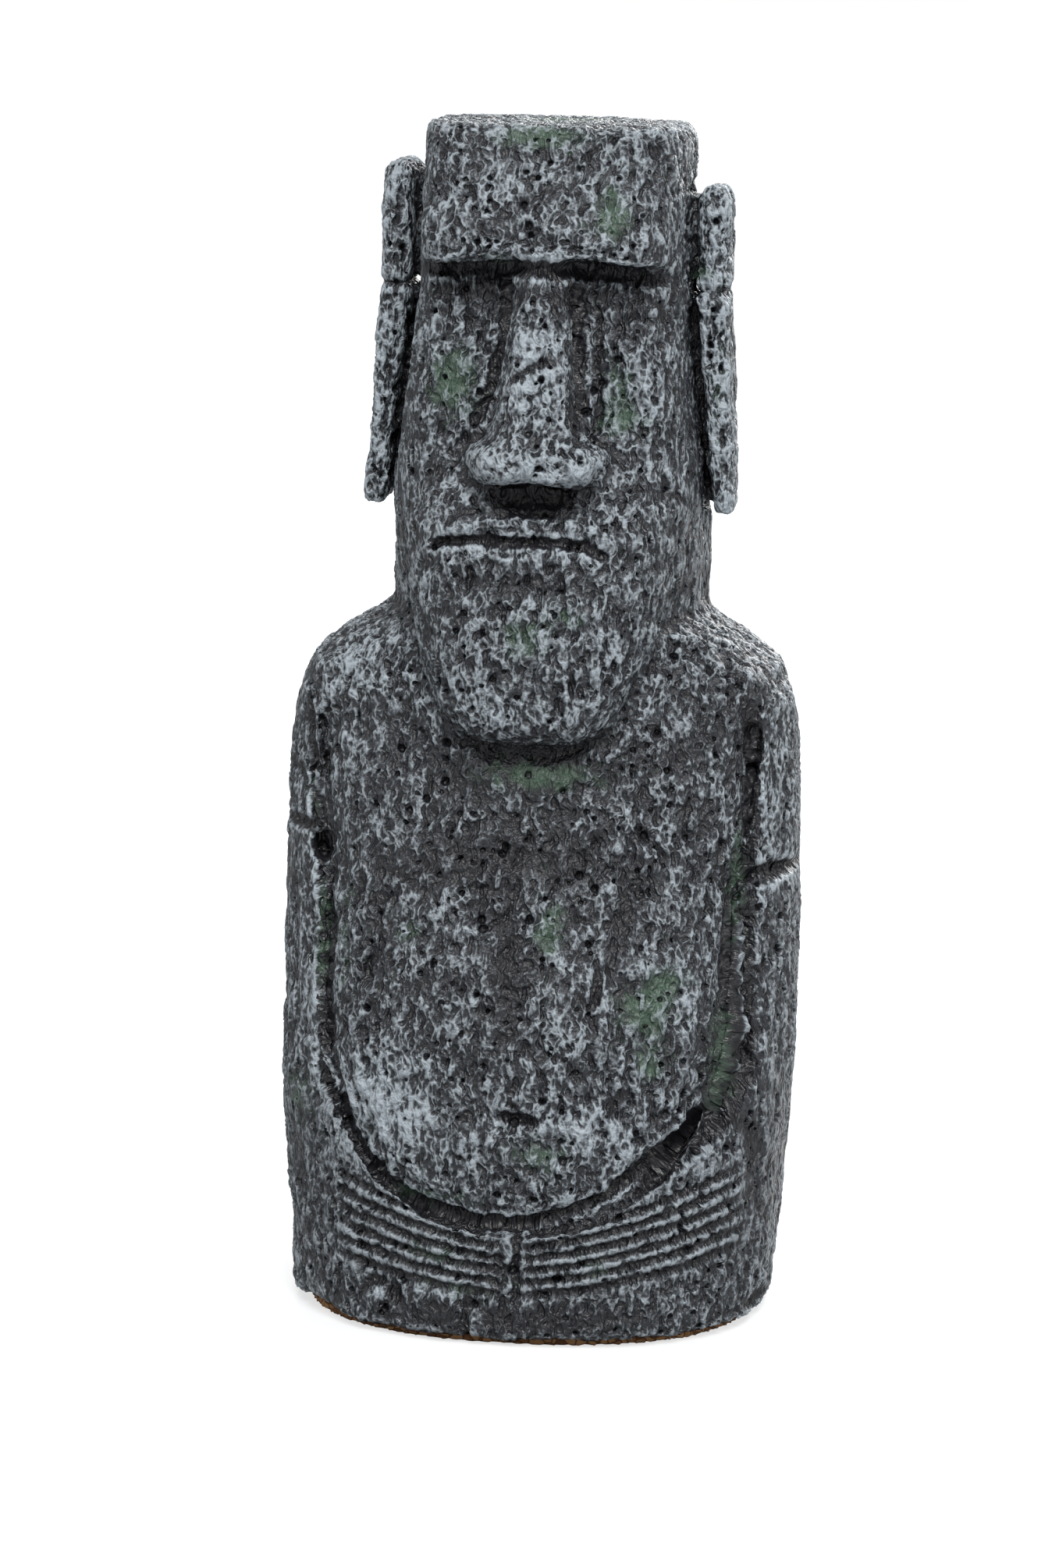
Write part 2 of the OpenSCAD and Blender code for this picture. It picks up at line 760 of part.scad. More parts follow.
module plate_screws() {
    color(steel) at_screws() difference() {
        union() {
            cylinder(h = screw_length, d = screw_diameter, $fn = round_fn);
            cylinder(h = screw_head / 4, d1 = screw_head, d2 = screw_diameter, $fn = round_fn);
        }
        cube([screw_head, 0.6, 1], center = true);
    }
}

module base_pad() {
    color(cork) linear_extrude(pad_thickness) plate_shape(pad_inset);
}

trunk();
head();
upper_ear(1);  // upper_ear_left
upper_ear(-1);  // upper_ear_right
ear_lobe(1);  // ear_lobe_left
ear_lobe(-1);  // ear_lobe_right
upper_arm(1);  // upper_arm_left
upper_arm(-1);  // upper_arm_right
forearm(1);  // forearm_left
forearm(-1);  // forearm_right
hand(1);  // hand_left
hand(-1);  // hand_right
neck_pegs();
ear_pegs();
arm_pegs();
base_plate();
plate_screws();
base_pad();
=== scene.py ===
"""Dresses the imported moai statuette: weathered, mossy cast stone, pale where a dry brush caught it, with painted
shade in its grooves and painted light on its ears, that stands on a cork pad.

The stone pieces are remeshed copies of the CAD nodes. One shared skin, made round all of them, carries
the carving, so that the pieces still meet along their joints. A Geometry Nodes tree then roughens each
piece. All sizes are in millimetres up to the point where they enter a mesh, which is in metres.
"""

import logging
import math
from dataclasses import dataclass, field
from enum import Enum

import bmesh
import bpy
import numpy as np
from mathutils import Matrix, Vector


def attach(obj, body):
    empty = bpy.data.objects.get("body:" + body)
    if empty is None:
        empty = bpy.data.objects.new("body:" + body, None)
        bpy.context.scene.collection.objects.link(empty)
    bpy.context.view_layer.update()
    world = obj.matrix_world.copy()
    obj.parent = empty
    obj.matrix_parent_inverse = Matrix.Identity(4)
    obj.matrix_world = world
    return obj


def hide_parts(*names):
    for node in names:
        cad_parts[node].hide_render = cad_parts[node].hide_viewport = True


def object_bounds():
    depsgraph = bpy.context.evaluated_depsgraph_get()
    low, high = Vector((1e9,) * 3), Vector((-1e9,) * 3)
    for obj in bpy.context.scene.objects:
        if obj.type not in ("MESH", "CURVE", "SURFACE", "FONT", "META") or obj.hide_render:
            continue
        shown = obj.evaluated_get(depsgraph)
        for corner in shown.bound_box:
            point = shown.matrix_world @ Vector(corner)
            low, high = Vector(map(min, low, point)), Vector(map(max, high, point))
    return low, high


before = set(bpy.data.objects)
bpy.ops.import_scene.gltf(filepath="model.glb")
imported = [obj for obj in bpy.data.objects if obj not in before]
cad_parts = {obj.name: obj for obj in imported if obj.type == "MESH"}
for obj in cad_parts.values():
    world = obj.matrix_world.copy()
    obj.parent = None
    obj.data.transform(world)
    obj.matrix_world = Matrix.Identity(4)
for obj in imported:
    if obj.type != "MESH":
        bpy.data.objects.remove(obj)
CAD_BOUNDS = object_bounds()
MM = 0.001
BODY = "root"
log = logging.getLogger("statuette")


# ---------------------------------------------------------------- node trees

class Graph:
    """A node tree, with short calls that add a node and link it."""

    def __init__(self, tree: bpy.types.NodeTree) -> None:
        """Takes over an empty tree."""
        self.tree = tree

    def add(self, kind: str, inputs: dict | None = None, **settings) -> bpy.types.Node:
        """Adds one node.

        Args:
            kind: The node's Blender type.
            inputs: For each socket, by name or number, a value or the socket that feeds it.
            settings: The node's own properties, set before its sockets.

        Returns:
            The new node.
        """
        node = self.tree.nodes.new(kind)
        for name, value in settings.items():
            setattr(node, name, value)
        for key, value in (inputs or {}).items():
            target = self.socket(node.inputs, key)
            if isinstance(value, bpy.types.NodeSocket):
                self.tree.links.new(value, target)
            else:
                target.default_value = value
        return node

    @staticmethod
    def socket(sockets, key: str | int) -> bpy.types.NodeSocket:
        """Finds the socket in use that has this name or number."""
        return sockets[key] if isinstance(key, int) else next(s for s in sockets if s.name == key and s.enabled)

    def math(self, operation: str, *values) -> bpy.types.NodeSocket:
        """Adds a Math node and returns its result."""
        return self.add("ShaderNodeMath", dict(enumerate(values)), operation=operation).outputs[0]

    def vector(self, operation: str, *values) -> bpy.types.NodeSocket:
        """Adds a Vector Math node and returns its vector; a number as the second value scales."""
        keys = {i: v for i, v in enumerate(values)}
        if operation == "SCALE":
            keys = {0: values[0], "Scale": values[1]}
        node = self.add("ShaderNodeVectorMath", keys, operation=operation)
        return node.outputs["Value"] if operation in ("LENGTH", "DISTANCE") else node.outputs[0]

    def ramp(self, value, low, high, to_low=0.0, to_high=1.0) -> bpy.types.NodeSocket:
        """Adds a smooth, clamped Map Range and returns its result."""
        keys = {"Value": value, "From Min": low, "From Max": high, "To Min": to_low, "To Max": to_high}
        return self.add("ShaderNodeMapRange", keys, interpolation_type="SMOOTHSTEP").outputs[0]

    def blend(self, factor, first, second) -> bpy.types.NodeSocket:
        """Adds a colour Mix and returns its result."""
        keys = {"Factor": factor, "A": first, "B": second}
        return self.add("ShaderNodeMix", keys, data_type="RGBA").outputs["Result"]

    def noise(self, place, size, detail=2.0, rough=0.5, **settings) -> bpy.types.NodeSocket:
        """Adds a noise whose features are about that size, as a share of place's unit, and returns its value."""
        scale = self.math("DIVIDE", 1.0, size) if isinstance(size, bpy.types.NodeSocket) else 1.0 / size
        keys = {"Vector": place, "Scale": scale, "Detail": detail, "Roughness": rough}
        return self.add("ShaderNodeTexNoise", keys, **settings).outputs[0]

    def cells(self, place, size, **settings) -> bpy.types.Node:
        """Adds a Voronoi texture with cells of about that size and returns its node."""
        scale = self.math("DIVIDE", 1.0, size) if isinstance(size, bpy.types.NodeSocket) else 1.0 / size
        return self.add("ShaderNodeTexVoronoi", {"Vector": place, "Scale": scale}, **settings)


def new_interface(tree: bpy.types.NodeTree, ins: dict[str, tuple], outs: dict[str, str]) -> None:
    """Declares a tree's named sockets.

    Args:
        tree: The tree.
        ins: For each input, its socket type and its default, or None where it has none.
        outs: For each output, its socket type.
    """
    for name, (kind, value) in ins.items():
        item = tree.interface.new_socket(name=name, in_out="INPUT", socket_type=f"NodeSocket{kind}")
        if value is not None:
            item.default_value = value
    for name, kind in outs.items():
        tree.interface.new_socket(name=name, in_out="OUTPUT", socket_type=f"NodeSocket{kind}")


def run_tree(item: bpy.types.Object, tree: bpy.types.NodeTree, values: dict, name: str) -> bpy.types.Object:
    """Runs a Geometry Nodes tree on an object and turns the result into a plain mesh object.

    Args:
        item: The object that the tree starts from, which is removed.
        tree: The tree.
        values: A value for each named input.
        name: The new object's name.

    Returns:
        The new object, with no modifier.
    """
    modifier = item.modifiers.new("tree", "NODES")
    modifier.node_group = tree
    for socket in tree.interface.items_tree:
        if socket.in_out == "INPUT" and socket.name in values:
            modifier[socket.identifier] = values[socket.name]
    result = baked(item, name)
    bpy.data.objects.remove(item)
    return result


# ---------------------------------------------------------------- mesh helpers

def linked(name: str, mesh: bpy.types.Mesh) -> bpy.types.Object:
    """Makes an object for a mesh and puts it in the scene."""
    item = bpy.data.objects.new(name, mesh)
    bpy.context.scene.collection.objects.link(item)
    return item


def baked(item: bpy.types.Object, name: str) -> bpy.types.Object:
    """Returns a new object that holds the item's mesh with its modifiers applied."""
    bpy.context.view_layer.update()
    mesh = bpy.data.meshes.new_from_object(item.evaluated_get(bpy.context.evaluated_depsgraph_get()))
    mesh.name = name
    return linked(name, mesh)


def merged_copy(nodes: list[str], name: str) -> bpy.types.Object:
    """Copies CAD nodes into one object whose loose triangles are joined up.

    Args:
        nodes: The CAD nodes.
        name: The new object's name.

    Returns:
        The new object.
    """
    shape = bmesh.new()
    for node in nodes:
        shape.from_mesh(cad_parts[node].data)
    bmesh.ops.remove_doubles(shape, verts=shape.verts, dist=1e-6)
    mesh = bpy.data.meshes.new(name)
    shape.to_mesh(mesh)
    shape.free()
    mesh.materials.clear()
    return linked(name, mesh)


def remeshed(item: bpy.types.Object, voxel: float, name: str) -> bpy.types.Object:
    """Replaces an object by an even net of small quads, voxel millimetres apart."""
    modifier = item.modifiers.new("remesh", "REMESH")
    modifier.mode, modifier.voxel_size, modifier.use_smooth_shade = "VOXEL", voxel * MM, True
    result = baked(item, name)
    bpy.data.objects.remove(item)
    return result


def read(data, attribute: str, width: int = 3) -> np.ndarray:
    """Reads one attribute of a mesh's vertices, edges or normals into an array."""
    kind = np.int32 if attribute == "vertices" else np.float32
    values = np.empty(len(data) * width, kind)
    data.foreach_get(attribute, values)
    return values.reshape(-1, width) if width > 1 else values


def store(mesh: bpy.types.Mesh, name: str, values: np.ndarray) -> None:
    """Stores an array of numbers or vectors as a named attribute of the vertices."""
    vectors = values.ndim == 2
    layer = mesh.attributes.new(name, "FLOAT_VECTOR" if vectors else "FLOAT", "POINT")
    layer.data.foreach_set("vector" if vectors else "value", values.astype(np.float32).ravel())


class Net:
    """A mesh's points and edges as arrays, for blurring values over the surface."""

    def __init__(self, mesh: bpy.types.Mesh) -> None:
        """Reads the mesh."""
        self.points = read(mesh.vertices, "co").astype(float)
        self.normals = read(mesh.vertex_normals, "vector").astype(float)
        self.edges = read(mesh.edges, "vertices", 2)
        self.count = np.maximum(np.bincount(self.edges.ravel(), minlength=len(self.points)), 1)

    def mean(self, values: np.ndarray) -> np.ndarray:
        """Returns, at each point, the mean of its neighbours' values."""
        first, second = self.edges.T
        flat = values.reshape(len(values), -1)
        size = len(flat)
        out = np.stack([np.bincount(first, column[second], size) + np.bincount(second, column[first], size)
                        for column in flat.T], axis=1)
        return (out / self.count[:, None]).reshape(values.shape)

    def blur(self, values: np.ndarray, times: int, strength: np.ndarray | float = 1.0) -> np.ndarray:
        """Blurs values over the surface.

        Args:
            values: Numbers or vectors, one to a point.
            times: Number of passes, each about one edge wide.
            strength: 0 to 1, for all points or for each.

        Returns:
            The blurred values.
        """
        share = 0.6 * (strength[:, None] if isinstance(strength, np.ndarray) and values.ndim > 1 else strength)
        for _ in range(times):
            values = values + share * (self.mean(values) - values)
        return values


# ---------------------------------------------------------------- carving

class Side(Enum):
    """A side to carve from: the two axes that the tool sees, and the direction it faces."""

    FRONT = (0, 2, 1, -1.0)
    BACK = (0, 2, 1, 1.0)
    LEFT = (1, 2, 0, 1.0)
    RIGHT = (1, 2, 0, -1.0)
    TOP = (0, 1, 2, 1.0)


@dataclass(frozen=True)
class Stroke:
    """A groove, or a ridge where its depth is below zero, carved along a line.

    Attributes:
        line: Points of the line, millimetres, as (across, up) on that side.
        width: Distance from the line at which the stroke ends.
        depth: Depth in the middle.
        side: The side that it is carved from.
        flat: 0 for a rounded section, up to 0.9 for one with a flat floor and steep walls.
        fade: Length at each end over which it comes up to its depth.
    """

    line: list[tuple[float, float]]
    width: float
    depth: float
    side: Side = Side.FRONT
    flat: float = 0.0
    fade: float = 1.5

    def cut(self, points: np.ndarray, normals: np.ndarray) -> np.ndarray:
        """Returns how far each point is pressed in along its normal, millimetres."""
        across, up, into, sign = self.side.value
        flat_points = points[:, (across, up)]
        line = np.array(self.line, float)
        low, high = line.min(0) - self.width, line.max(0) + self.width
        facing = np.clip((normals[:, into] * sign - 0.1) / 0.3, 0, 1)
        near = np.flatnonzero((flat_points > low).all(1) & (flat_points < high).all(1) & (facing > 0))
        seen = flat_points[near]
        best, along, start = np.full(len(near), np.inf), np.zeros(len(near)), 0.0
        for a, b in zip(line[:-1], line[1:]):
            run = b - a
            length = math.hypot(*run)
            t = np.clip((seen - a) @ run / length**2, 0, 1)
            gap = np.hypot(*(seen - a - t[:, None] * run).T)
            closer = gap < best
            best, along, start = np.where(closer, gap, best), np.where(closer, start + t * length, along), start + length
        rise = np.clip((1 - best / self.width) / (1 - self.flat), 0, 1)
        ends = np.clip(np.minimum(along, start - along) / max(self.fade, 0.01) + 0.25, 0, 1)
        out = np.zeros(len(points))
        out[near] = self.depth * rise**2 * (3 - 2 * rise) * ends * facing[near]
        return out


@dataclass(frozen=True)
class Push:
    """A soft move of everything round a point, as clay is moved with a thumb.

    Attributes:
        centre: The middle, millimetres.
        reach: How far it reaches along each axis.
        move: How far the middle moves along each axis.
    """

    centre: tuple[float, float, float]
    reach: tuple[float, float, float]
    move: tuple[float, float, float]

    def apply(self, points: np.ndarray) -> np.ndarray:
        """Returns each point's move, millimetres."""
        away = ((points - self.centre) / self.reach) ** 2
        share = np.clip(1 - away.sum(1), 0, 1)
        return (share**2)[:, None] * np.array(self.move)


@dataclass(frozen=True)
class Patch:
    """A patch of moss, of more or less dry-brush, or of painted shade, as a soft ellipse on one side.

    Attributes:
        centre: The middle, millimetres, as (across, up) on that side.
        reach: Half its width and height.
        amount: Its strength in the middle.
        side: The side that it is on.
    """

    centre: tuple[float, float]
    reach: tuple[float, float]
    amount: float = 1.0
    side: Side = Side.FRONT

    def cover(self, points: np.ndarray, normals: np.ndarray) -> np.ndarray:
        """Returns the patch's strength at each point."""
        across, up, into, sign = self.side.value
        away = ((points[:, (across, up)] - self.centre) / self.reach) ** 2
        facing = np.clip((normals[:, into] * sign + 0.1) / 0.4, 0, 1)
        return self.amount * np.exp(-1.6 * away.sum(1)) * facing


@dataclass
class Skin:
    """One closed skin round all of the stone, on which the carving is worked out.

    Attributes:
        nodes: The CAD nodes inside it.
        voxel: Distance between its points.
        round_passes: Blurring passes that wear its edges round.
        calm_passes: Further passes where a calm patch lies.
        ear_side: Distance from the middle past which the thin ears keep their edges.
        ear_floor: Height over which they do.
        shade: How much darker the stone is painted where it is carved a millimetre deep: the brush reaches less there,
            and the grooves get painted shade.
    """

    nodes: list[str]
    voxel: float = 0.42
    round_passes: int = 7
    calm_passes: int = 26
    ear_side: float = 17.5
    ear_floor: float = 100.0
    shade: float = 0.45
    pushes: list[Push] = field(default_factory=list)
    strokes: list[Stroke] = field(default_factory=list)
    calm: list[Patch] = field(default_factory=list)
    moss: list[Patch] = field(default_factory=list)
    worn: list[Patch] = field(default_factory=list)

    def build(self) -> bpy.types.Object:
        """Builds the skin.

        Returns:
            An object at the CAD shape, whose attributes say where the carving moves each point ("shift"),
            which way is out ("aim"), and how much edge, moss, dry-brush and painted shade there is.
        """
        item = remeshed(merged_copy(self.nodes, "skin"), self.voxel, "skin")
        net = Net(item.data)
        start = net.points / MM
        crisp = np.abs(start[:, 0]) > np.where(start[:, 2] > self.ear_floor, self.ear_side, np.inf)
        points = net.blur(start, self.round_passes, np.where(crisp, 0.25, 1.0))
        calm = sum((patch.cover(points, net.normals) for patch in self.calm), np.zeros(len(points)))
        points = net.blur(points, self.calm_passes, np.clip(calm, 0, 1))
        for push in self.pushes:
            points = points + push.apply(points)
        aim = self.directions(item.data, points, net, 3)
        carved = np.zeros(len(points))
        for stroke in self.strokes:
            depth = stroke.cut(points, aim)
            carved += np.clip(depth, 0.0, 1.2)
            points = points - aim * depth[:, None]
        points = net.blur(points, 1, 0.5)
        aim = self.directions(item.data, points, net, 6)
        edge = ((points - net.blur(points, 10)) * aim).sum(1)
        facing = self.directions(item.data, points, net, 30)
        moss = sum((patch.cover(points, facing) for patch in self.moss), np.zeros(len(points)))
        # Patches add or take away dry-brush or paint shade; grooves carved deep lose brush and get painted shade.
        worn = sum((patch.cover(points, facing) for patch in self.worn), -self.shade * carved)
        mesh = item.data
        mesh.vertices.foreach_set("co", (start * MM).astype(np.float32).ravel())
        mesh.update()
        for name, values in (("shift", (points - start) * MM), ("aim", aim), ("edge", edge),
                             ("moss", moss), ("worn", worn), ("calm", np.clip(calm, 0, 1))):
            store(mesh, name, values)
        log.info("skin: %d points, carved by %d strokes", len(points), len(self.strokes))
        return item

    @staticmethod
    def directions(mesh: bpy.types.Mesh, points: np.ndarray, net: Net, times: int) -> np.ndarray:
        """Returns the blurred outward directions of a mesh with its points moved."""
        mesh.vertices.foreach_set("co", (points * MM).astype(np.float32).ravel())
        mesh.update()
        normals = net.blur(read(mesh.vertex_normals, "vector").astype(float), times)
        return normals / np.maximum(np.linalg.norm(normals, axis=1, keepdims=True), 1e-9)


# ---------------------------------------------------------------- stone relief and finish

@dataclass(frozen=True)
class Grit:
    """How rough the cast stone is. One value serves both the relief and the paint that lies on it.

    Attributes:
        swell_size: Distance between the broad swells, millimetres.
        swell_depth: Their depth.
        crust_size: Distance between the worm-like ridges of the crust.
        crust_depth: Their height over the hollows.
        crumb_size: Distance between the finer ridges on them.
        crumb_depth: Their height.
        pit_size: Distance between the gas pits.
        pit_depth: Their depth.
        pit_share: Share of the places that have a pit.
        stretch: How much longer the ridges are upwards than across.
    """

    swell_size: float = 7.0
    swell_depth: float = 0.34
    crust_size: float = 1.45
    crust_depth: float = 0.75
    crumb_size: float = 0.8
    crumb_depth: float = 0.18
    pit_size: float = 2.8
    pit_depth: float = 1.0
    pit_share: float = 0.5
    stretch: float = 2.1

    def crust(self, graph: Graph, place) -> tuple:
        """Adds the nodes that say how the crust rises at a place.

        Args:
            graph: The tree to add them to, of either kind.
            place: The place, in millimetres.

        Returns:
            The broad ridges, the fine ridges and the pits, each from 0 to 1.
        """
        sway = graph.add("ShaderNodeTexNoise", {"Vector": place, "Scale": 0.5, "Detail": 1.0})
        sway = graph.vector("SUBTRACT", sway.outputs["Color"], (0.5, 0.5, 0.5))
        bent = graph.vector("ADD", place, graph.vector("SCALE", sway, 1.6))
        bent = graph.vector("MULTIPLY", bent, (1.0, 1.0, 1.0 / self.stretch))
        cells = graph.cells(bent, self.crust_size, feature="F1")
        draw = graph.add("ShaderNodeSeparateXYZ", {"Vector": cells.outputs["Color"]}).outputs
        ragged = graph.math("SUBTRACT", graph.noise(place, self.crumb_size, 2.0, 0.6), 0.5)
        gap = graph.math("MULTIPLY_ADD", ragged, 0.9, cells.outputs["Distance"])
        hollow = graph.math("MULTIPLY", graph.ramp(gap, 0.58, 0.16), graph.ramp(draw[0], 0.1, 0.7, 0.25, 1.0))
        lump = graph.ramp(graph.noise(bent, self.crust_size * 0.9, 2.0, 0.6), 0.38, 0.62)
        broad = graph.math("MULTIPLY_ADD", lump, 0.5, graph.math("MULTIPLY", graph.math("SUBTRACT", 1.0, hollow), 0.5))
        fine = self.ridge(graph, graph.noise(bent, self.crumb_size, 1.0, 0.5), 4.0)
        return broad, fine, self.pits(graph, place)

    @staticmethod
    def ridge(graph: Graph, value, sharpness: float):
        """Adds the nodes that turn a noise into thin ridges where it crosses its middle."""
        away = graph.math("ABSOLUTE", graph.math("SUBTRACT", value, 0.5))
        return graph.ramp(graph.math("MULTIPLY", away, sharpness), 0.9, 0.0)

    def pits(self, graph: Graph, place):
        """Adds the nodes for round pits of two sizes and returns how deep each place is in one, 0 to 1."""
        found = []
        for size, radius, share in ((self.pit_size, 0.22, self.pit_share), (self.pit_size * 0.5, 0.28, self.pit_share)):
            cells = graph.cells(place, size, feature="F1")
            draw = graph.add("ShaderNodeSeparateXYZ", {"Vector": cells.outputs["Color"]}).outputs
            edge = graph.math("MULTIPLY_ADD", draw[1], radius * 0.6, radius * 0.5)
            depth = graph.ramp(graph.math("DIVIDE", cells.outputs["Distance"], edge), 1.0, 0.6)
            chosen = graph.math("LESS_THAN", draw[0], share)
            found.append(graph.math("MULTIPLY", depth, chosen))
        return graph.math("MAXIMUM", *found)

    def relief_tree(self) -> bpy.types.NodeTree:
        """Builds the tree that carves and roughens a remeshed piece.

        Returns:
            The tree, whose inputs are the piece, the skin and the stone's depths.
        """
        tree = bpy.data.node_groups.new("rough stone", "GeometryNodeTree")
        new_interface(tree, {
            "Geometry": ("Geometry", None), "Skin": ("Object", None), "Material": ("Material", None),
            "Swell": ("Float", self.swell_depth), "Crust": ("Float", self.crust_depth),
            "Crumb": ("Float", self.crumb_depth), "Pit": ("Float", self.pit_depth),
            "Skin Depth": ("Float", 2.6), "Lap": ("Float", 0.2), "Seed": ("Float", 3.0)}, {"Geometry": "Geometry"})
        graph = Graph(tree)
        ins = graph.add("NodeGroupInput").outputs
        skin = graph.add("GeometryNodeObjectInfo", {"Object": ins["Skin"]}, transform_space="ORIGINAL")
        place = graph.add("GeometryNodeInputPosition").outputs[0]

        def sample(value, kind: str):
            """Adds a node that reads a value at the nearest place of the skin."""
            keys = {"Mesh": skin.outputs["Geometry"], "Value": value, "Sample Position": place}
            return graph.add("GeometryNodeSampleNearestSurface", keys, data_type=kind).outputs[0]

        def carried(name: str, kind: str = "FLOAT"):
            """Adds nodes that read one of the skin's attributes there."""
            named = graph.add("GeometryNodeInputNamedAttribute", {"Name": name}, data_type=kind)
            return sample(named.outputs[0], kind)

        normal = graph.add("GeometryNodeInputNormal").outputs[0]
        lap = graph.vector("SCALE", normal, graph.math("MULTIPLY", ins["Lap"], MM))
        shape = graph.add("GeometryNodeSetPosition", {"Geometry": ins["Geometry"], "Offset": lap}).outputs[0]
        on_skin = graph.vector("SUBTRACT", sample(place, "FLOAT_VECTOR"), place)
        reach = graph.math("DIVIDE", graph.vector("LENGTH", on_skin), MM)
        settle = graph.vector("SCALE", on_skin, graph.ramp(reach, 0.75, 0.4))
        shape = graph.add("GeometryNodeSetPosition", {"Geometry": shape, "Offset": settle}).outputs[0]
        rest = graph.vector("SCALE", place, 1.0 / MM)
        share = graph.ramp(reach, ins["Skin Depth"], 0.5)
        aim = graph.vector("NORMALIZE", carried("aim", "FLOAT_VECTOR"))
        broad, fine, pits = self.crust(graph, rest)
        drift = graph.vector("ADD", rest, graph.add("ShaderNodeCombineXYZ", {"X": ins["Seed"]}).outputs[0])
        swell = graph.math("SUBTRACT", graph.noise(drift, self.swell_size, 2.0, 0.5), 0.62)
        local = graph.ramp(graph.noise(drift, 13.0, 1.0), 0.36, 0.6, 0.35, 1.0)
        calm = graph.math("SUBTRACT", 1.0, carried("calm"))
        local = graph.math("MULTIPLY", local, calm)
        height = graph.math("MULTIPLY", swell, graph.math("MULTIPLY", ins["Swell"], 3.0))
        crust = graph.math("MULTIPLY_ADD", graph.math("SUBTRACT", broad, 0.8), ins["Crust"],
                           graph.math("MULTIPLY", graph.math("SUBTRACT", fine, 0.8), ins["Crumb"]))
        height = graph.math("MULTIPLY_ADD", crust, local, height)
        height = graph.math("SUBTRACT", height, graph.math("MULTIPLY", pits, ins["Pit"]))
        height = graph.math("MULTIPLY", height, share)
        offset = graph.vector("ADD", graph.vector("SCALE", aim, graph.math("MULTIPLY", height, MM)),
                              graph.vector("SCALE", carried("shift", "FLOAT_VECTOR"), share))
        for name, value, kind in (("rest", rest, "FLOAT_VECTOR"), ("edge", carried("edge"), "FLOAT"),
                                  ("moss", carried("moss"), "FLOAT"), ("worn", carried("worn"), "FLOAT")):
            keys = {"Geometry": shape, "Name": name, "Value": value}
            shape = graph.add("GeometryNodeStoreNamedAttribute", keys, data_type=kind, domain="POINT").outputs[0]
        shape = graph.add("GeometryNodeSetPosition", {"Geometry": shape, "Offset": offset}).outputs[0]
        shape = graph.add("GeometryNodeRealizeInstances", {"Geometry": shape}).outputs[0]
        shape = graph.add("GeometryNodeSetMaterial", {"Geometry": shape, "Material": ins["Material"]}).outputs[0]
        graph.add("NodeGroupOutput", {"Geometry": shape})
        return tree


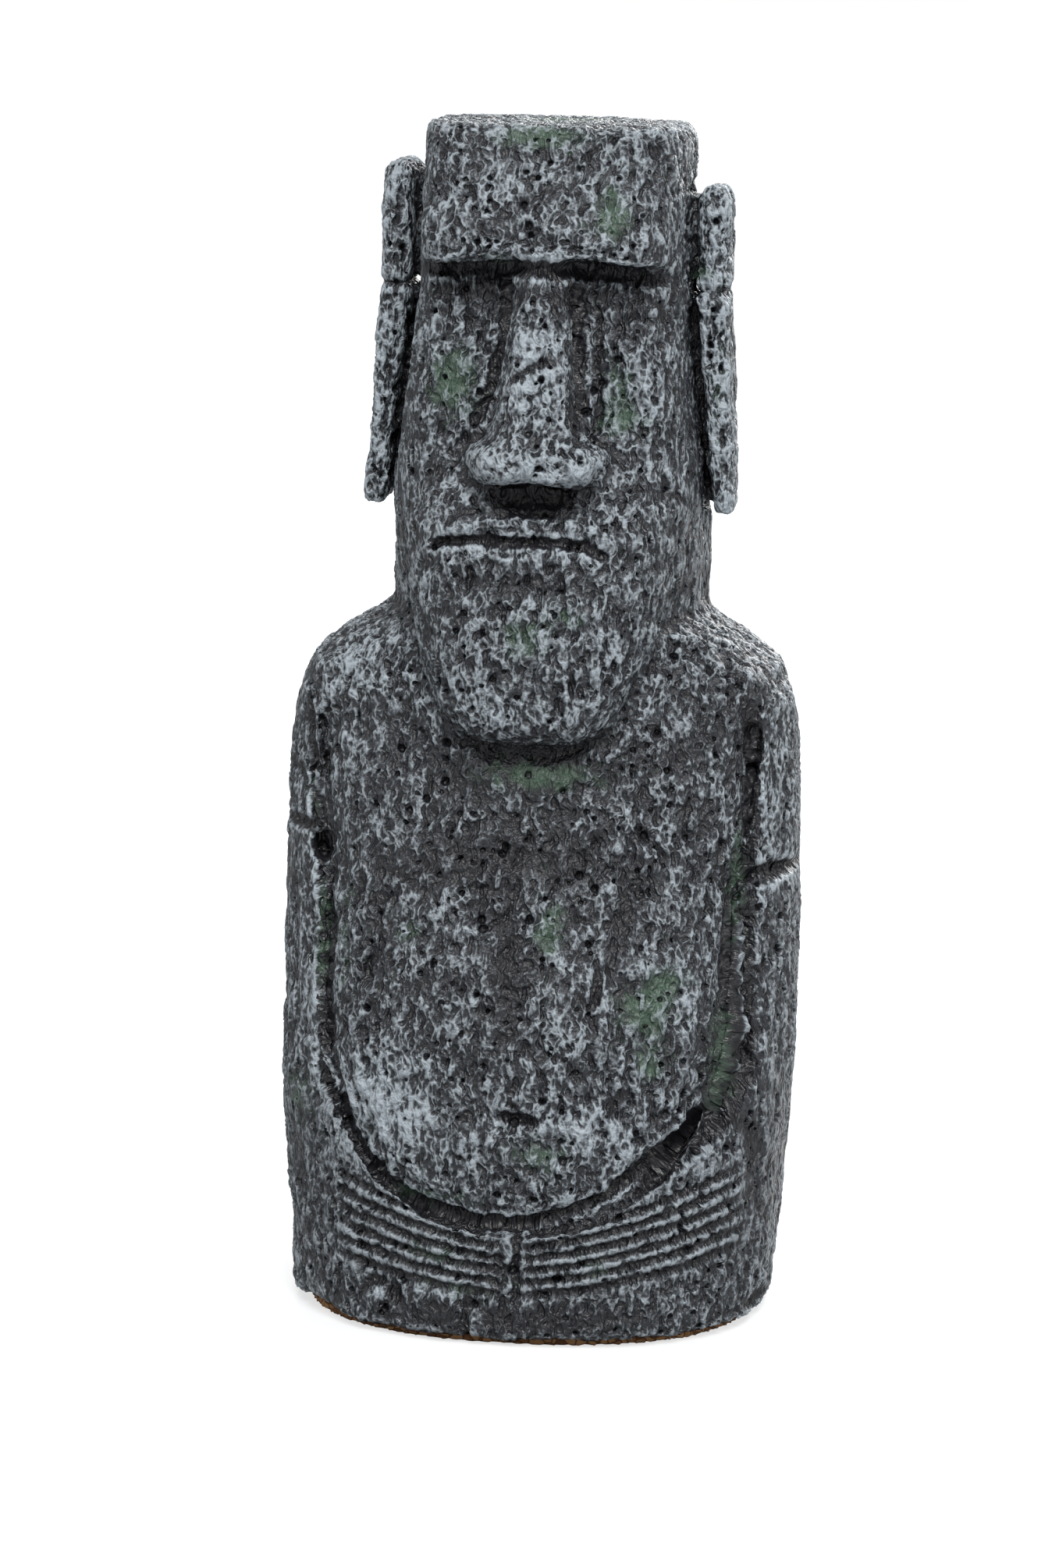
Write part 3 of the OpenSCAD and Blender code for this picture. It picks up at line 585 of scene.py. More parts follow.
@dataclass(frozen=True)
class StoneFinish:
    """Dark cast stone, painted: a charcoal ground, moss washed into patches, and a pale crest laid on with a dry brush,
    which on the ears is raised as painted light.

    Attributes:
        ground: The charcoal in the hollows.
        haze: The thin grey that lies over the flats.
        crest: The blue-grey that the dry brush leaves on the ridges.
        moss: The green wash.
        brush_and_light: How much of the stone the brush caught; raised on the ears, where it is painted light on their
            sides.
        mossy: How strong the green is.
    """

    ground: tuple[float, float, float] = (0.015, 0.015, 0.018)
    haze: tuple[float, float, float] = (0.042, 0.047, 0.056)
    crest: tuple[float, float, float] = (0.36, 0.41, 0.445)
    moss: tuple[float, float, float] = (0.060, 0.104, 0.070)
    brush_and_light: float = 1.0
    mossy: float = 1.0

    @staticmethod
    def group(grit: Grit) -> bpy.types.NodeTree:
        """Builds the node group that all of the stone's materials share.

        Args:
            grit: The roughness that the relief was made with.

        Returns:
            The group.
        """
        tree = bpy.data.node_groups.new("weathered cast stone", "ShaderNodeTree")
        colour = ("Color", (0.1, 0.1, 0.1, 1.0))
        new_interface(tree, {"Ground": colour, "Haze": colour, "Crest": colour, "Moss": colour,
                             "Brushed": ("Float", 1.0), "Mossy": ("Float", 1.0), "Grain": ("Float", 0.62)},
                      {"Color": "Color", "Roughness": "Float", "Height": "Float"})
        graph = Graph(tree)
        ins = graph.add("NodeGroupInput").outputs

        def held(name: str, output: str = "Fac"):
            """Adds a node that reads an attribute of the mesh."""
            return graph.add("ShaderNodeAttribute", attribute_name=name).outputs[output]

        place = held("rest", "Vector")
        broad, fine, pits = grit.crust(graph, place)
        grain = graph.noise(place, ins["Grain"], 3.0, 0.65)
        blotch = graph.noise(place, 6.5, 3.0, 0.6)
        rise = graph.math("MULTIPLY_ADD", broad, 0.55, graph.math("MULTIPLY", fine, 0.42))
        rise = graph.math("MULTIPLY_ADD", held("edge"), 1.6, rise)
        rise = graph.math("MULTIPLY_ADD", graph.math("SUBTRACT", grain, 0.5), 1.0, rise)
        rise = graph.math("MULTIPLY_ADD", graph.math("SUBTRACT", blotch, 0.5), 0.45, rise)
        # This attribute holds the dry-brush patches and the painted shade under the brow, the nose and the chin and in
        # the carved grooves.
        rise = graph.math("ADD", rise, held("worn"))
        dry = graph.ramp(rise, 0.62, 1.12)
        # On the ears this factor is raised, which paints light on their sides.
        dry = graph.math("MULTIPLY", graph.math("MULTIPLY", dry, ins["Brushed"]),
                         graph.math("SUBTRACT", 1.0, pits))
        film = graph.ramp(rise, 0.25, 1.0)
        film = graph.math("MULTIPLY", film, graph.math("SUBTRACT", 1.0, graph.math("MULTIPLY", pits, 0.9)))
        cloud = graph.noise(place, 1.9, 4.0, 0.75)
        green = graph.math("MULTIPLY_ADD", graph.math("SUBTRACT", cloud, 0.5), 2.0, held("moss"))
        green = graph.math("MULTIPLY", graph.ramp(green, 0.22, 0.85), ins["Mossy"])
        ground = graph.blend(film, ins["Ground"], ins["Haze"])
        ground = graph.blend(graph.math("MULTIPLY", green, 0.85), ground, ins["Moss"])
        pale = graph.blend(graph.math("MULTIPLY", green, 0.62), ins["Crest"],
                           graph.blend(0.42, ins["Moss"], ins["Crest"]))
        result = graph.blend(dry, ground, pale)
        result = graph.blend(graph.math("MULTIPLY", pits, 0.8), result, ins["Ground"])
        rough = graph.math("MULTIPLY_ADD", dry, 0.10, graph.math("MULTIPLY_ADD", grain, 0.25, 0.20))
        bump = graph.math("MULTIPLY_ADD", fine, 0.4, graph.math("MULTIPLY", broad, 0.6))
        bump = graph.math("MULTIPLY_ADD", grain, 0.5, bump)
        bump = graph.math("SUBTRACT", bump, graph.math("MULTIPLY", pits, 0.9))
        graph.add("NodeGroupOutput", {"Color": result, "Roughness": rough, "Height": bump})
        return tree

    def build(self, name: str, group: bpy.types.NodeTree) -> bpy.types.Material:
        """Builds one material from the shared group.

        Args:
            name: The material's name.
            group: The shared group.

        Returns:
            The material.
        """
        material, graph, shader = new_material(name)
        keys = {"Ground": (*self.ground, 1.0), "Haze": (*self.haze, 1.0), "Crest": (*self.crest, 1.0),
                "Moss": (*self.moss, 1.0), "Brushed": self.brush_and_light, "Mossy": self.mossy}
        stone = graph.tree.nodes.new("ShaderNodeGroup")
        stone.node_tree = group
        for key, value in keys.items():
            stone.inputs[key].default_value = value
        graph.tree.links.new(stone.outputs["Color"], shader.inputs["Base Color"])
        graph.tree.links.new(stone.outputs["Roughness"], shader.inputs["Roughness"])
        add_bump(graph, shader, stone.outputs["Height"], 0.6, 1.0)
        return material


def new_material(name: str) -> tuple[bpy.types.Material, Graph, bpy.types.Node]:
    """Makes a material and returns it with its tree and its Principled BSDF."""
    material = bpy.data.materials.new(name)
    material.use_nodes = True
    return material, Graph(material.node_tree), material.node_tree.nodes["Principled BSDF"]


def add_bump(graph: Graph, shader: bpy.types.Node, height, depth: float, strength: float) -> None:
    """Feeds a height to the shader's Normal; depth is in millimetres."""
    keys = {"Height": height, "Distance": depth * MM, "Strength": strength}
    graph.tree.links.new(graph.add("ShaderNodeBump", keys).outputs[0], shader.inputs["Normal"])


# ---------------------------------------------------------------- the hidden fittings' finishes

@dataclass(frozen=True)
class TurnedWood:
    """Plain beech with its grain along the peg.

    Attributes:
        pale: The early wood.
        dark: The late wood and the flecks.
    """

    pale: tuple[float, float, float] = (0.56, 0.38, 0.21)
    dark: tuple[float, float, float] = (0.33, 0.19, 0.09)

    def build(self, name: str) -> bpy.types.Material:
        """Builds the material."""
        material, graph, shader = new_material(name)
        place = graph.add("ShaderNodeTexCoord").outputs["Object"]
        place = graph.vector("SCALE", place, 1.0 / MM)
        long = graph.vector("MULTIPLY", place, (0.25, 1.6, 1.0))
        rings = graph.noise(long, 0.9, 4.0, 0.6, noise_dimensions="3D")
        flecks = graph.ramp(graph.noise(long, 0.28, 2.0, 0.7), 0.58, 0.72)
        tone = graph.math("MULTIPLY_ADD", flecks, 0.5, graph.ramp(rings, 0.35, 0.7))
        colour = graph.blend(graph.math("MINIMUM", tone, 1.0), (*self.pale, 1.0), (*self.dark, 1.0))
        graph.tree.links.new(colour, shader.inputs["Base Color"])
        rough = graph.math("MULTIPLY_ADD", tone, 0.2, 0.5)
        graph.tree.links.new(rough, shader.inputs["Roughness"])
        add_bump(graph, shader, tone, 0.08, 0.5)
        return material


@dataclass(frozen=True)
class Steel:
    """Bright screw steel with fine turning marks.

    Attributes:
        colour: Its colour.
    """

    colour: tuple[float, float, float] = (0.55, 0.56, 0.58)

    def build(self, name: str) -> bpy.types.Material:
        """Builds the material."""
        material, graph, shader = new_material(name)
        place = graph.vector("SCALE", graph.add("ShaderNodeTexCoord").outputs["Object"], 1.0 / MM)
        marks = graph.noise(graph.vector("MULTIPLY", place, (1.0, 1.0, 9.0)), 0.5, 3.0, 0.6)
        dark = tuple(part * 0.6 for part in self.colour)
        colour = graph.blend(graph.ramp(marks, 0.3, 0.7), (*dark, 1.0), (*self.colour, 1.0))
        graph.tree.links.new(colour, shader.inputs["Base Color"])
        graph.tree.links.new(graph.ramp(marks, 0.2, 0.8, 0.24, 0.46), shader.inputs["Roughness"])
        shader.inputs["Metallic"].default_value = 1.0
        add_bump(graph, shader, marks, 0.02, 0.4)
        return material


@dataclass(frozen=True)
class MouldedPlastic:
    """Black moulded plastic with a fine spark-eroded grain.

    Attributes:
        colour: Its colour.
    """

    colour: tuple[float, float, float] = (0.022, 0.022, 0.024)

    def build(self, name: str) -> bpy.types.Material:
        """Builds the material."""
        material, graph, shader = new_material(name)
        place = graph.vector("SCALE", graph.add("ShaderNodeTexCoord").outputs["Object"], 1.0 / MM)
        grain = graph.noise(place, 0.35, 2.0, 0.6)
        scuff = graph.ramp(graph.noise(place, 7.0, 4.0, 0.7), 0.5, 0.8)
        pale = tuple(part * 2.2 for part in self.colour)
        colour = graph.blend(scuff, (*self.colour, 1.0), (*pale, 1.0))
        graph.tree.links.new(colour, shader.inputs["Base Color"])
        graph.tree.links.new(graph.ramp(grain, 0.3, 0.7, 0.42, 0.62), shader.inputs["Roughness"])
        add_bump(graph, shader, grain, 0.05, 0.5)
        return material


@dataclass(frozen=True)
class Cork:
    """Pressed cork: pale and dark granules with dark glue between them.

    Attributes:
        pale: The palest granules.
        dark: The darkest granules.
        granule: Distance between granules, millimetres.
    """

    pale: tuple[float, float, float] = (0.46, 0.24, 0.10)
    dark: tuple[float, float, float] = (0.17, 0.07, 0.025)
    granule: float = 1.3

    def build(self, name: str) -> bpy.types.Material:
        """Builds the material."""
        material, graph, shader = new_material(name)
        place = graph.vector("SCALE", graph.add("ShaderNodeTexCoord").outputs["Object"], 1.0 / MM)
        cells = graph.cells(place, self.granule, feature="F1")
        seam = graph.ramp(graph.cells(place, self.granule, feature="DISTANCE_TO_EDGE").outputs["Distance"], 0.0, 0.14)
        draw = graph.add("ShaderNodeSeparateXYZ", {"Vector": cells.outputs["Color"]}).outputs[0]
        tone = graph.math("MULTIPLY_ADD", graph.noise(place, 0.3, 3.0, 0.7), 0.5, graph.math("MULTIPLY", draw, 0.7))
        colour = graph.blend(graph.ramp(tone, 0.2, 0.9), (*self.dark, 1.0), (*self.pale, 1.0))
        colour = graph.blend(seam, (*(part * 0.6 for part in self.dark), 1.0), colour)
        graph.tree.links.new(colour, shader.inputs["Base Color"])
        graph.tree.links.new(graph.ramp(tone, 0.2, 0.9, 0.95, 0.75), shader.inputs["Roughness"])
        add_bump(graph, shader, graph.math("MULTIPLY", seam, tone), 0.15, 0.8)
        return material


# ---------------------------------------------------------------- sub-assemblies

class Slot(Enum):
    """The record's material slots."""

    BODY = "cast_stone_body"
    HEAD = "cast_stone_head"
    EARS = "cast_stone_ears"
    ARMS = "cast_stone_arms"
    HANDS = "cast_stone_hands"
    PEGS = "peg_wood"
    PLATE = "plate"
    SCREWS = "screw_steel"
    PAD = "cork"


def triangles(item: bpy.types.Object) -> int:
    """Returns how many triangles an object's mesh comes to."""
    return len(item.data.loops) - 2 * len(item.data.polygons)


def seat(item: bpy.types.Object, slot: Slot, *nodes: str) -> None:
    """Puts a finished piece on the body, in place of its CAD nodes.

    Args:
        item: The finished piece.
        slot: The piece's material slot; not used.
        nodes: The CAD nodes that it stands for.
    """
    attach(item, BODY)
    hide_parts(*nodes)
    log.info("%s: %d triangles", item.name, triangles(item))


@dataclass
class Mason:
    """Makes stone pieces from CAD nodes: a fine net, carved by the shared skin and roughened."""

    skin: bpy.types.Object
    tree: bpy.types.NodeTree
    finishes: dict[Slot, bpy.types.Material]

    def make(self, node: str, slot: Slot, voxel: float, most: int = 190_000) -> None:
        """Makes one piece.

        Args:
            node: The CAD node that it stands for.
            slot: Its material slot.
            voxel: Distance between its points, millimetres.
            most: Most triangles that it may have; the rest is taken out of its hidden inside.
        """
        item = remeshed(merged_copy([node], node), voxel, "blank")
        item.data.materials.append(self.finishes[slot])
        item = run_tree(item, self.tree, {"Skin": self.skin, "Material": self.finishes[slot]}, f"{node}_stone")
        count = triangles(item)
        if count > most:
            item = self.thinned(item, most / count)
        item.name = item.data.name = f"{node}_stone"
        points = read(item.data.vertices, "co").astype(float)
        low, high = (np.array(corner) for corner in CAD_BOUNDS)
        item.data.vertices.foreach_set("co", np.clip(points, low, high).astype(np.float32).ravel())
        item.data.update()
        seat(item, slot, node)

    def thinned(self, item: bpy.types.Object, keep: float) -> bpy.types.Object:
        """Thins the net where it lies deep inside the skin.

        Args:
            item: The piece.
            keep: Share of all its triangles to keep.

        Returns:
            The thinned piece.
        """
        tree_depth = 2.2
        hidden = item.vertex_groups.new(name="hidden")
        depth = self.depth_inside(item)
        for level in (0.0, 1.0):
            chosen = np.flatnonzero((depth > tree_depth) == bool(level))
            hidden.add(chosen.tolist(), level, "REPLACE")
        modifier = item.modifiers.new("thin", "DECIMATE")
        modifier.ratio, modifier.vertex_group, modifier.vertex_group_factor = keep, "hidden", 10.0
        result = baked(item, item.name)
        bpy.data.objects.remove(item)
        result.vertex_groups.clear()
        return result

    def depth_inside(self, item: bpy.types.Object) -> np.ndarray:
        """Returns how deep each of the piece's points lies under the skin, millimetres."""
        from mathutils.kdtree import KDTree
        points = read(self.skin.data.vertices, "co")
        near = KDTree(len(points))
        for index, point in enumerate(points):
            near.insert(point, index)
        near.balance()
        return np.array([near.find(point)[2] for point in read(item.data.attributes["rest"].data, "vector") * MM]) / MM


@dataclass
class Head:
    """The head: a block with a heavy brow, a long nose, a thin mouth and slab ears.

    Attributes:
        voxel: Distance between the head's points, millimetres.
        ear_voxel: The same for the ears.
        brow_level: Height of the brow's lower edge at the sides of the face.
        mouth_level: Height of the mouth's line.
        nose_tip: Height of the lower edge of the nose.
    """

    voxel: float = 0.40
    ear_voxel: float = 0.34
    brow_level: float = 133.0
    mouth_level: float = 99.6
    nose_tip: float = 106.4

    def pushes(self) -> list[Push]:
        """Returns the soft move that bows the brow."""
        return [Push((0.0, -19.0, self.brow_level + 0.5), (12.0, 7.0, 3.0), (0.0, 0.0, 1.0))]

    def strokes(self) -> list[Stroke]:
        """Returns the strokes that carve the face."""
        brow, mouth, tip = self.brow_level, self.mouth_level, self.nose_tip
        return [
            Stroke([(-15.4, brow - 1.0), (-8, brow - 0.6), (0, brow - 0.2), (8, brow - 0.8), (15.2, brow - 1.5)],
                   1.1, 0.8, flat=0.3, fade=4.0),
            Stroke([(-5.0, brow - 0.2), (0, brow), (5.0, brow - 0.3)], 0.7, 0.8, flat=0.2, fade=1.5),
            Stroke([(4.3, brow - 1.6), (4.9, 121), (5.5, 112.8)], 0.9, 1.1),
            Stroke([(6.9, brow - 3.5), (7.3, 121), (7.6, 113.2)], 0.5, 0.35, fade=3.0),
            Stroke([(-4.3, brow - 1.6), (-4.8, 124), (-6.0, 118.5), (-8.2, 113.0)], 1.0, 1.0),
            Stroke([(-3.4, 119.2), (-1.2, 120.6), (0.8, 121.9), (2.9, 121.5)], 0.9, 0.6, fade=1.0),
            Stroke([(-2.2, 117.1), (0.4, 118.1), (2.4, 119.4)], 0.7, 0.45, fade=1.0),
            Stroke([(-9.6, tip + 5.2), (-5.8, tip + 6.1)], 0.8, 0.5),
            Stroke([(4.8, tip + 5.9), (9.0, tip + 5.0)], 0.8, 0.5),
            Stroke([(-4.4, tip + 0.8), (-3.0, tip + 2.6), (-1.0, tip + 4.0)], 0.45, 0.35),
            Stroke([(-4.4, tip - 1.2), (0, tip - 0.9), (3.8, tip - 1.0)], 1.5, 1.3, flat=0.3, fade=1.0),
            Stroke([(-3.0, tip - 2.6), (2.8, tip - 2.5)], 0.9, 0.8, fade=1.0),
            Stroke([(-11.8, mouth + 1.3), (-6, mouth + 2.4), (0, mouth + 2.6), (5.4, mouth + 2.3), (9.4, mouth + 1.0)],
                   1.3, -0.45),
            Stroke([(-12.5, mouth - 0.9), (-11.4, mouth - 0.1), (-7.5, mouth + 0.3), (-2, mouth + 0.15),
                    (3, mouth + 0.2), (6.4, mouth - 0.1), (8.9, mouth - 1.2)], 0.65, 1.3, flat=0.2, fade=1.2),
            Stroke([(-11.0, mouth - 2.4), (-5.6, mouth - 1.9), (0, mouth - 1.8), (5.6, mouth - 2.1), (8.6, mouth - 3.0)],
                   1.3, -0.35),
            Stroke([(-8.5, mouth - 5.2), (0, mouth - 4.8), (8.0, mouth - 5.4)], 2.2, 0.35, fade=4.0),
        ]

    def calm(self) -> list[Patch]:
        """Returns the places that are rubbed smooth: the faces beside the nose and mouth."""
        return [Patch((-13.0, 104.0), (3.5, 9.0), 0.9), Patch((12.5, 104.0), (3.5, 9.0), 0.9),
                Patch((-8.0, 128.5), (3.5, 3.0), 0.5)]

    def moss(self) -> list[Patch]:
        """Returns the green patches of the head."""
        return [Patch((-0.5, 148.6), (8.0, 2.2), 0.9), Patch((8.3, 139.5), (3.2, 4.5), 0.9),
                Patch((-10.8, 118.6), (4.2, 5.6), 0.95), Patch((9.6, 119.0), (3.0, 4.6), 0.6),
                Patch((10.5, 114.6), (4.0, 2.4), 0.8), Patch((-0.6, 88.6), (3.4, 3.8), 0.75),
                Patch((4.6, 91.2), (3.0, 2.5), 0.45), Patch((-5.5, 133.9), (2.6, 0.9), 0.7),
                Patch((18.8, 131.8), (2.2, 1.2), 1.1), Patch((21.0, 118.0), (1.5, 12.0), 0.35),
                Patch((0.0, 4.0), (9.0, 7.0), 0.7, Side.TOP), Patch((4.0, 120.0), (6.0, 9.0), 0.5, Side.BACK),
                Patch((-6.0, 98.0), (7.0, 5.0), 0.5, Side.BACK)]

    def worn(self) -> list[Patch]:
        """Returns where the head gets more or less of the dry-brush, and the painted shade under the brow and under the
        nose.
        """
        return [Patch((0.0, 108.5), (10.5, 3.0), 0.34), Patch((0.0, 121.0), (3.4, 10.0), 0.36),
                Patch((0.0, 141.0), (15.0, 6.0), 0.06), Patch((12.0, 118.0), (3.0, 10.0), 0.10),
                # Painted shade: the first patch is under the brow, the second under the nose.
                Patch((0.0, 129.5), (15.0, 3.0), -0.35), Patch((0.0, 104.6), (5.5, 1.8), -0.8),
                Patch((-4.0, 79.5), (9.0, 3.2), 0.2)]

    def build(self, mason: Mason) -> None:
        """Makes the head and its four ear pieces."""
        mason.make("head", Slot.HEAD, self.voxel)
        for node in ("upper_ear_left", "upper_ear_right", "ear_lobe_left", "ear_lobe_right"):
            mason.make(node, Slot.EARS, self.ear_voxel)


@dataclass
class Torso:
    """The trunk: a shouldered block with a round belly, a navel and a rough, chipped foot.

    Attributes:
        voxel: Distance between its points, millimetres.
    """

    voxel: float = 0.45

    def pushes(self) -> list[Push]:
        """Returns the soft moves that chip the foot's corner and raise the pebble on it."""
        return [Push((-25.5, -17.0, 0.6), (8.5, 9.0, 2.6), (0.8, 0.6, 0.6)),
                Push((-17.2, -25.0, 5.3), (2.0, 3.0, 1.8), (0.0, -0.8, 0.1)),
                Push((30.0, -9.0, 2.6), (4.0, 6.0, 1.8), (-1.2, 0.8, 0.0))]

    def strokes(self) -> list[Stroke]:
        """Returns the strokes that carve the belly's border, its folds and the cracks of the foot."""
        return [
            Stroke([(-28.2, 70), (-27.2, 62), (-25.8, 54), (-25.7, 44), (-24.8, 31.2), (-21.5, 25.4)],
                   1.3, 1.5, flat=0.3, fade=4.0),
            Stroke([(26.2, 56), (26.0, 43.4), (25.4, 37.3), (24.4, 31.2), (22.2, 27.7), (16.5, 22.4)],
                   1.1, 1.9, flat=0.3, fade=4.0),
            Stroke([(-24.8, 31.2), (-20.5, 24.3), (-15.9, 19.6), (-11, 17.3),
                    (-3.8, 15.8), (1.2, 15.8), (6.9, 17.2), (11, 19.1), (16.2, 22.0)], 0.85, 1.1, flat=0.2, fade=3.0),
            Stroke([(26.6, 58), (26.4, 46), (27.3, 39), (27.0, 33), (24.6, 28.6), (20.5, 25.0), (15.6, 21.8)], 2.5, 2.1,
                   flat=0.35, fade=7.0),
            Stroke([(27.0, 80), (27.4, 71), (27.2, 58)], 1.3, 1.0, flat=0.2, fade=5.0),
            Stroke([(-29.2, 78), (-28.3, 70), (-27.4, 63)], 1.0, 0.8),
            Stroke([(-5.0, 7.2), (-5.5, 3.4), (-5.1, -0.4)], 0.5, 0.7),
            Stroke([(-1.8, 29.7), (0.6, 29.0), (3.4, 28.8)], 1.0, 1.3, fade=1.0),
            Stroke([(-0.8, 31.4), (0.8, 30.2)], 0.8, 0.6, fade=0.6),
            Stroke([(-14.9, 6.6), (-14.5, 4.6)], 1.3, 1.3, fade=0.4),
            Stroke([(-19.4, 5.0), (-17.6, 7.2), (-15.6, 6.9)], 0.7, 0.6, fade=0.6),
            Stroke([(-1.0, 64), (-1.6, 50), (-1.2, 38)], 2.6, 0.35, fade=6.0),
            Stroke([(-17.0, 62), (-18.5, 48), (-17.5, 38)], 3.2, 0.35, fade=6.0),
            Stroke([(13.0, 60), (12.0, 50), (13.5, 41)], 2.4, 0.4, fade=6.0),
            Stroke([(10.0, 47.0), (9.6, 43.5)], 0.9, 0.7, fade=0.5),
            Stroke([(13.6, 33.0), (11.8, 30.6)], 1.1, 0.6, fade=0.5),
        ]

    def calm(self) -> list[Patch]:
        """Returns the places that are rubbed smooth: under the chin and along the folds."""
        return [Patch((0.0, 70.0), (17.0, 6.5), 0.8), Patch((-19.0, 76.0), (6.0, 6.0), 0.7),
                Patch((19.0, 76.0), (6.0, 6.0), 0.7), Patch((6.0, 3.0), (12.0, 3.0), 0.6)]

    def moss(self) -> list[Patch]:
        """Returns the green patches of the trunk."""
        return [Patch((1.5, 70.8), (11.0, 2.6), 0.75), Patch((15.8, 42.6), (4.6, 4.2), 1.0),
                Patch((18.8, 46.5), (3.4, 2.2), 0.6), Patch((16.8, 36.0), (3.2, 3.6), 0.6),
                Patch((3.6, 52.5), (2.6, 5.5), 0.7), Patch((3.2, 24.6), (5.0, 2.4), 0.7),
                Patch((-22.6, 50.0), (1.6, 12.0), 0.45), Patch((-14.2, 51.0), (3.0, 3.4), 0.45),
                Patch((24.8, 36.0), (2.2, 8.0), 0.8), Patch((25.6, 57.0), (1.4, 9.0), 0.75),
                Patch((-26.0, 48.0), (1.3, 10.0), 0.8), Patch((-10.0, 18.6), (9.0, 1.4), 0.6),
                Patch((-6.0, 7.0), (9.0, 1.8), 0.35), Patch((8.0, 50.0), (9.0, 10.0), 0.6, Side.BACK),
                Patch((-12.0, 24.0), (7.0, 8.0), 0.5, Side.BACK), Patch((2.0, 28.0), (8.0, 9.0), 0.5, Side.LEFT),
                Patch((4.0, 50.0), (7.0, 8.0), 0.5, Side.RIGHT)]

    def worn(self) -> list[Patch]:
        """Returns where the trunk gets more or less of the dry-brush, and its painted shade: the chin's shadow on the
        chest and under the chin, and the right channel beside the belly, which is dark paint and painted shade.
        """
        return [Patch((-16.0, 30.0), (9.0, 7.0), 0.40), Patch((-22.0, 82.0), (6.0, 5.0), 0.22),
                # The last patch on the next line, on the chest, is the chin's painted shadow.
                Patch((-30.5, 52.0), (2.5, 22.0), -0.1), Patch((10.0, 28.0), (8.0, 6.0), 0.12), Patch((0.0, 61.0), (22.0, 6.0), -0.22),
                # The last patch on the next line, just under the chin, is painted shadow too.
                Patch((0.0, 3.0), (26.0, 3.2), -0.32), Patch((0.0, 72.0), (16.0, 4.0), -0.4),
                # The first patch on the next line darkens the right channel beside the belly: dark paint and painted
                # shade.
                Patch((25.6, 34.0), (2.6, 9.0), -1.0), Patch((-1.0, 45.0), (5.0, 12.0), -0.15),
                Patch((25.0, 80.0), (6.0, 6.0), -0.12)]

    def build(self, mason: Mason) -> None:
        """Makes the trunk."""
        mason.make("trunk", Slot.BODY, self.voxel)


@dataclass
class Arms:
    """The arms at the sides and the hands that meet under the belly.

    Attributes:
        voxel: Distance between the arms' points, millimetres.
        hand_voxel: The same for the hands.
        notch_level: Height of the notch at the left elbow.
        finger_count: Fingers of each hand.
        finger_top: Height of the top groove at the fingertips.
        finger_pitch: Distance between grooves there.
        finger_spread: How much less each lower groove rises to the knuckles.
    """

    voxel: float = 0.42
    hand_voxel: float = 0.38
    notch_level: float = 58.2
    finger_count: int = 5
    finger_top: float = 14.4
    finger_pitch: float = 1.5
    finger_spread: float = 0.55

    def strokes(self) -> list[Stroke]:
        """Returns the strokes that carve the elbows, the fingers' edges and the chipped knuckles."""
        notch = self.notch_level
        return self.fingers() + [
            Stroke([(26.4, notch - 0.6), (29.0, notch + 0.3), (34.0, notch - 0.3)], 1.0, 1.4, flat=0.2, fade=0.5),
            Stroke([(-14.0, notch - 1.2), (-4.0, notch - 0.4), (6.0, notch - 0.8)], 0.9, 0.9, Side.LEFT, fade=3.0),
            Stroke([(-34.0, 61.4), (-29.0, 62.0), (-27.0, 61.2)], 1.0, 1.0, fade=0.5),
            Stroke([(0.9, 15.4), (0.7, 11.0), (1.1, 6.8)], 0.6, 0.7, fade=0.8),
            Stroke([(12.8, 20.8), (14.4, 22.4)], 1.0, 0.9, fade=0.4),
            Stroke([(28.4, 27.5), (29.4, 22.0), (29.2, 16.0)], 1.6, 0.5, fade=3.0),
            Stroke([(-29.6, 23.0), (-27.6, 14.0)], 1.5, 0.5, fade=3.0),
        ]

    def fingers(self) -> list[Stroke]:
        """Returns the grooves between the fingers of both hands and the ridges between those."""
        found = []
        for side, reach, rise in ((-1, 21.5, 5.4), (1, 27.0, 7.4)):
            for finger in range(self.finger_count + 1):
                tip = self.finger_top - finger * self.finger_pitch
                spread = finger * self.finger_spread
                line = [(side * (0.9 + reach * t), tip + (rise - spread) * t**1.35) for t in (0, 0.25, 0.5, 0.75, 1)]
                found.append(Stroke(line, 0.62, 0.62, fade=4.0))
                if finger < self.finger_count:
                    ridge = [(x, z - self.finger_pitch / 2) for x, z in line]
                    found.append(Stroke(ridge, 0.55, -0.3, fade=3.0))
        return found

    def pushes(self) -> list[Push]:
        """Returns the soft moves that thin the wrists, as the outline shows."""
        return [Push((30.6, -6.0, 20.0), (4.0, 12.0, 5.0), (-0.5, 0.0, 0.0)),
                Push((-31.0, -6.0, 41.0), (3.0, 12.0, 5.0), (0.5, 0.0, 0.0))]

    def moss(self) -> list[Patch]:
        """Returns the green patches of the arms and hands."""
        return [Patch((-29.0, 27.5), (3.0, 4.5), 0.6), Patch((-10.0, 12.0), (6.0, 4.0), 0.35),
                Patch((9.0, 10.0), (7.0, 3.5), 0.35), Patch((24.0, 12.5), (4.0, 2.4), 0.3),
                Patch((-28.5, 66.0), (2.5, 5.0), 0.4)]

    def worn(self) -> list[Patch]:
        """Returns where the brush caught the arms most."""
        return [Patch((29.5, 68.0), (3.0, 14.0), 0.14), Patch((-29.5, 45.0), (3.0, 16.0), 0.12),
                Patch((-22.0, 22.0), (6.0, 4.0), 0.1), Patch((24.5, 23.0), (6.0, 4.5), 0.16)]

    def build(self, mason: Mason) -> None:
        """Makes the six pieces of the arms."""
        for side in ("left", "right"):
            mason.make(f"upper_arm_{side}", Slot.ARMS, self.voxel)
            mason.make(f"forearm_{side}", Slot.ARMS, self.voxel)
            mason.make(f"hand_{side}", Slot.HANDS, self.hand_voxel)


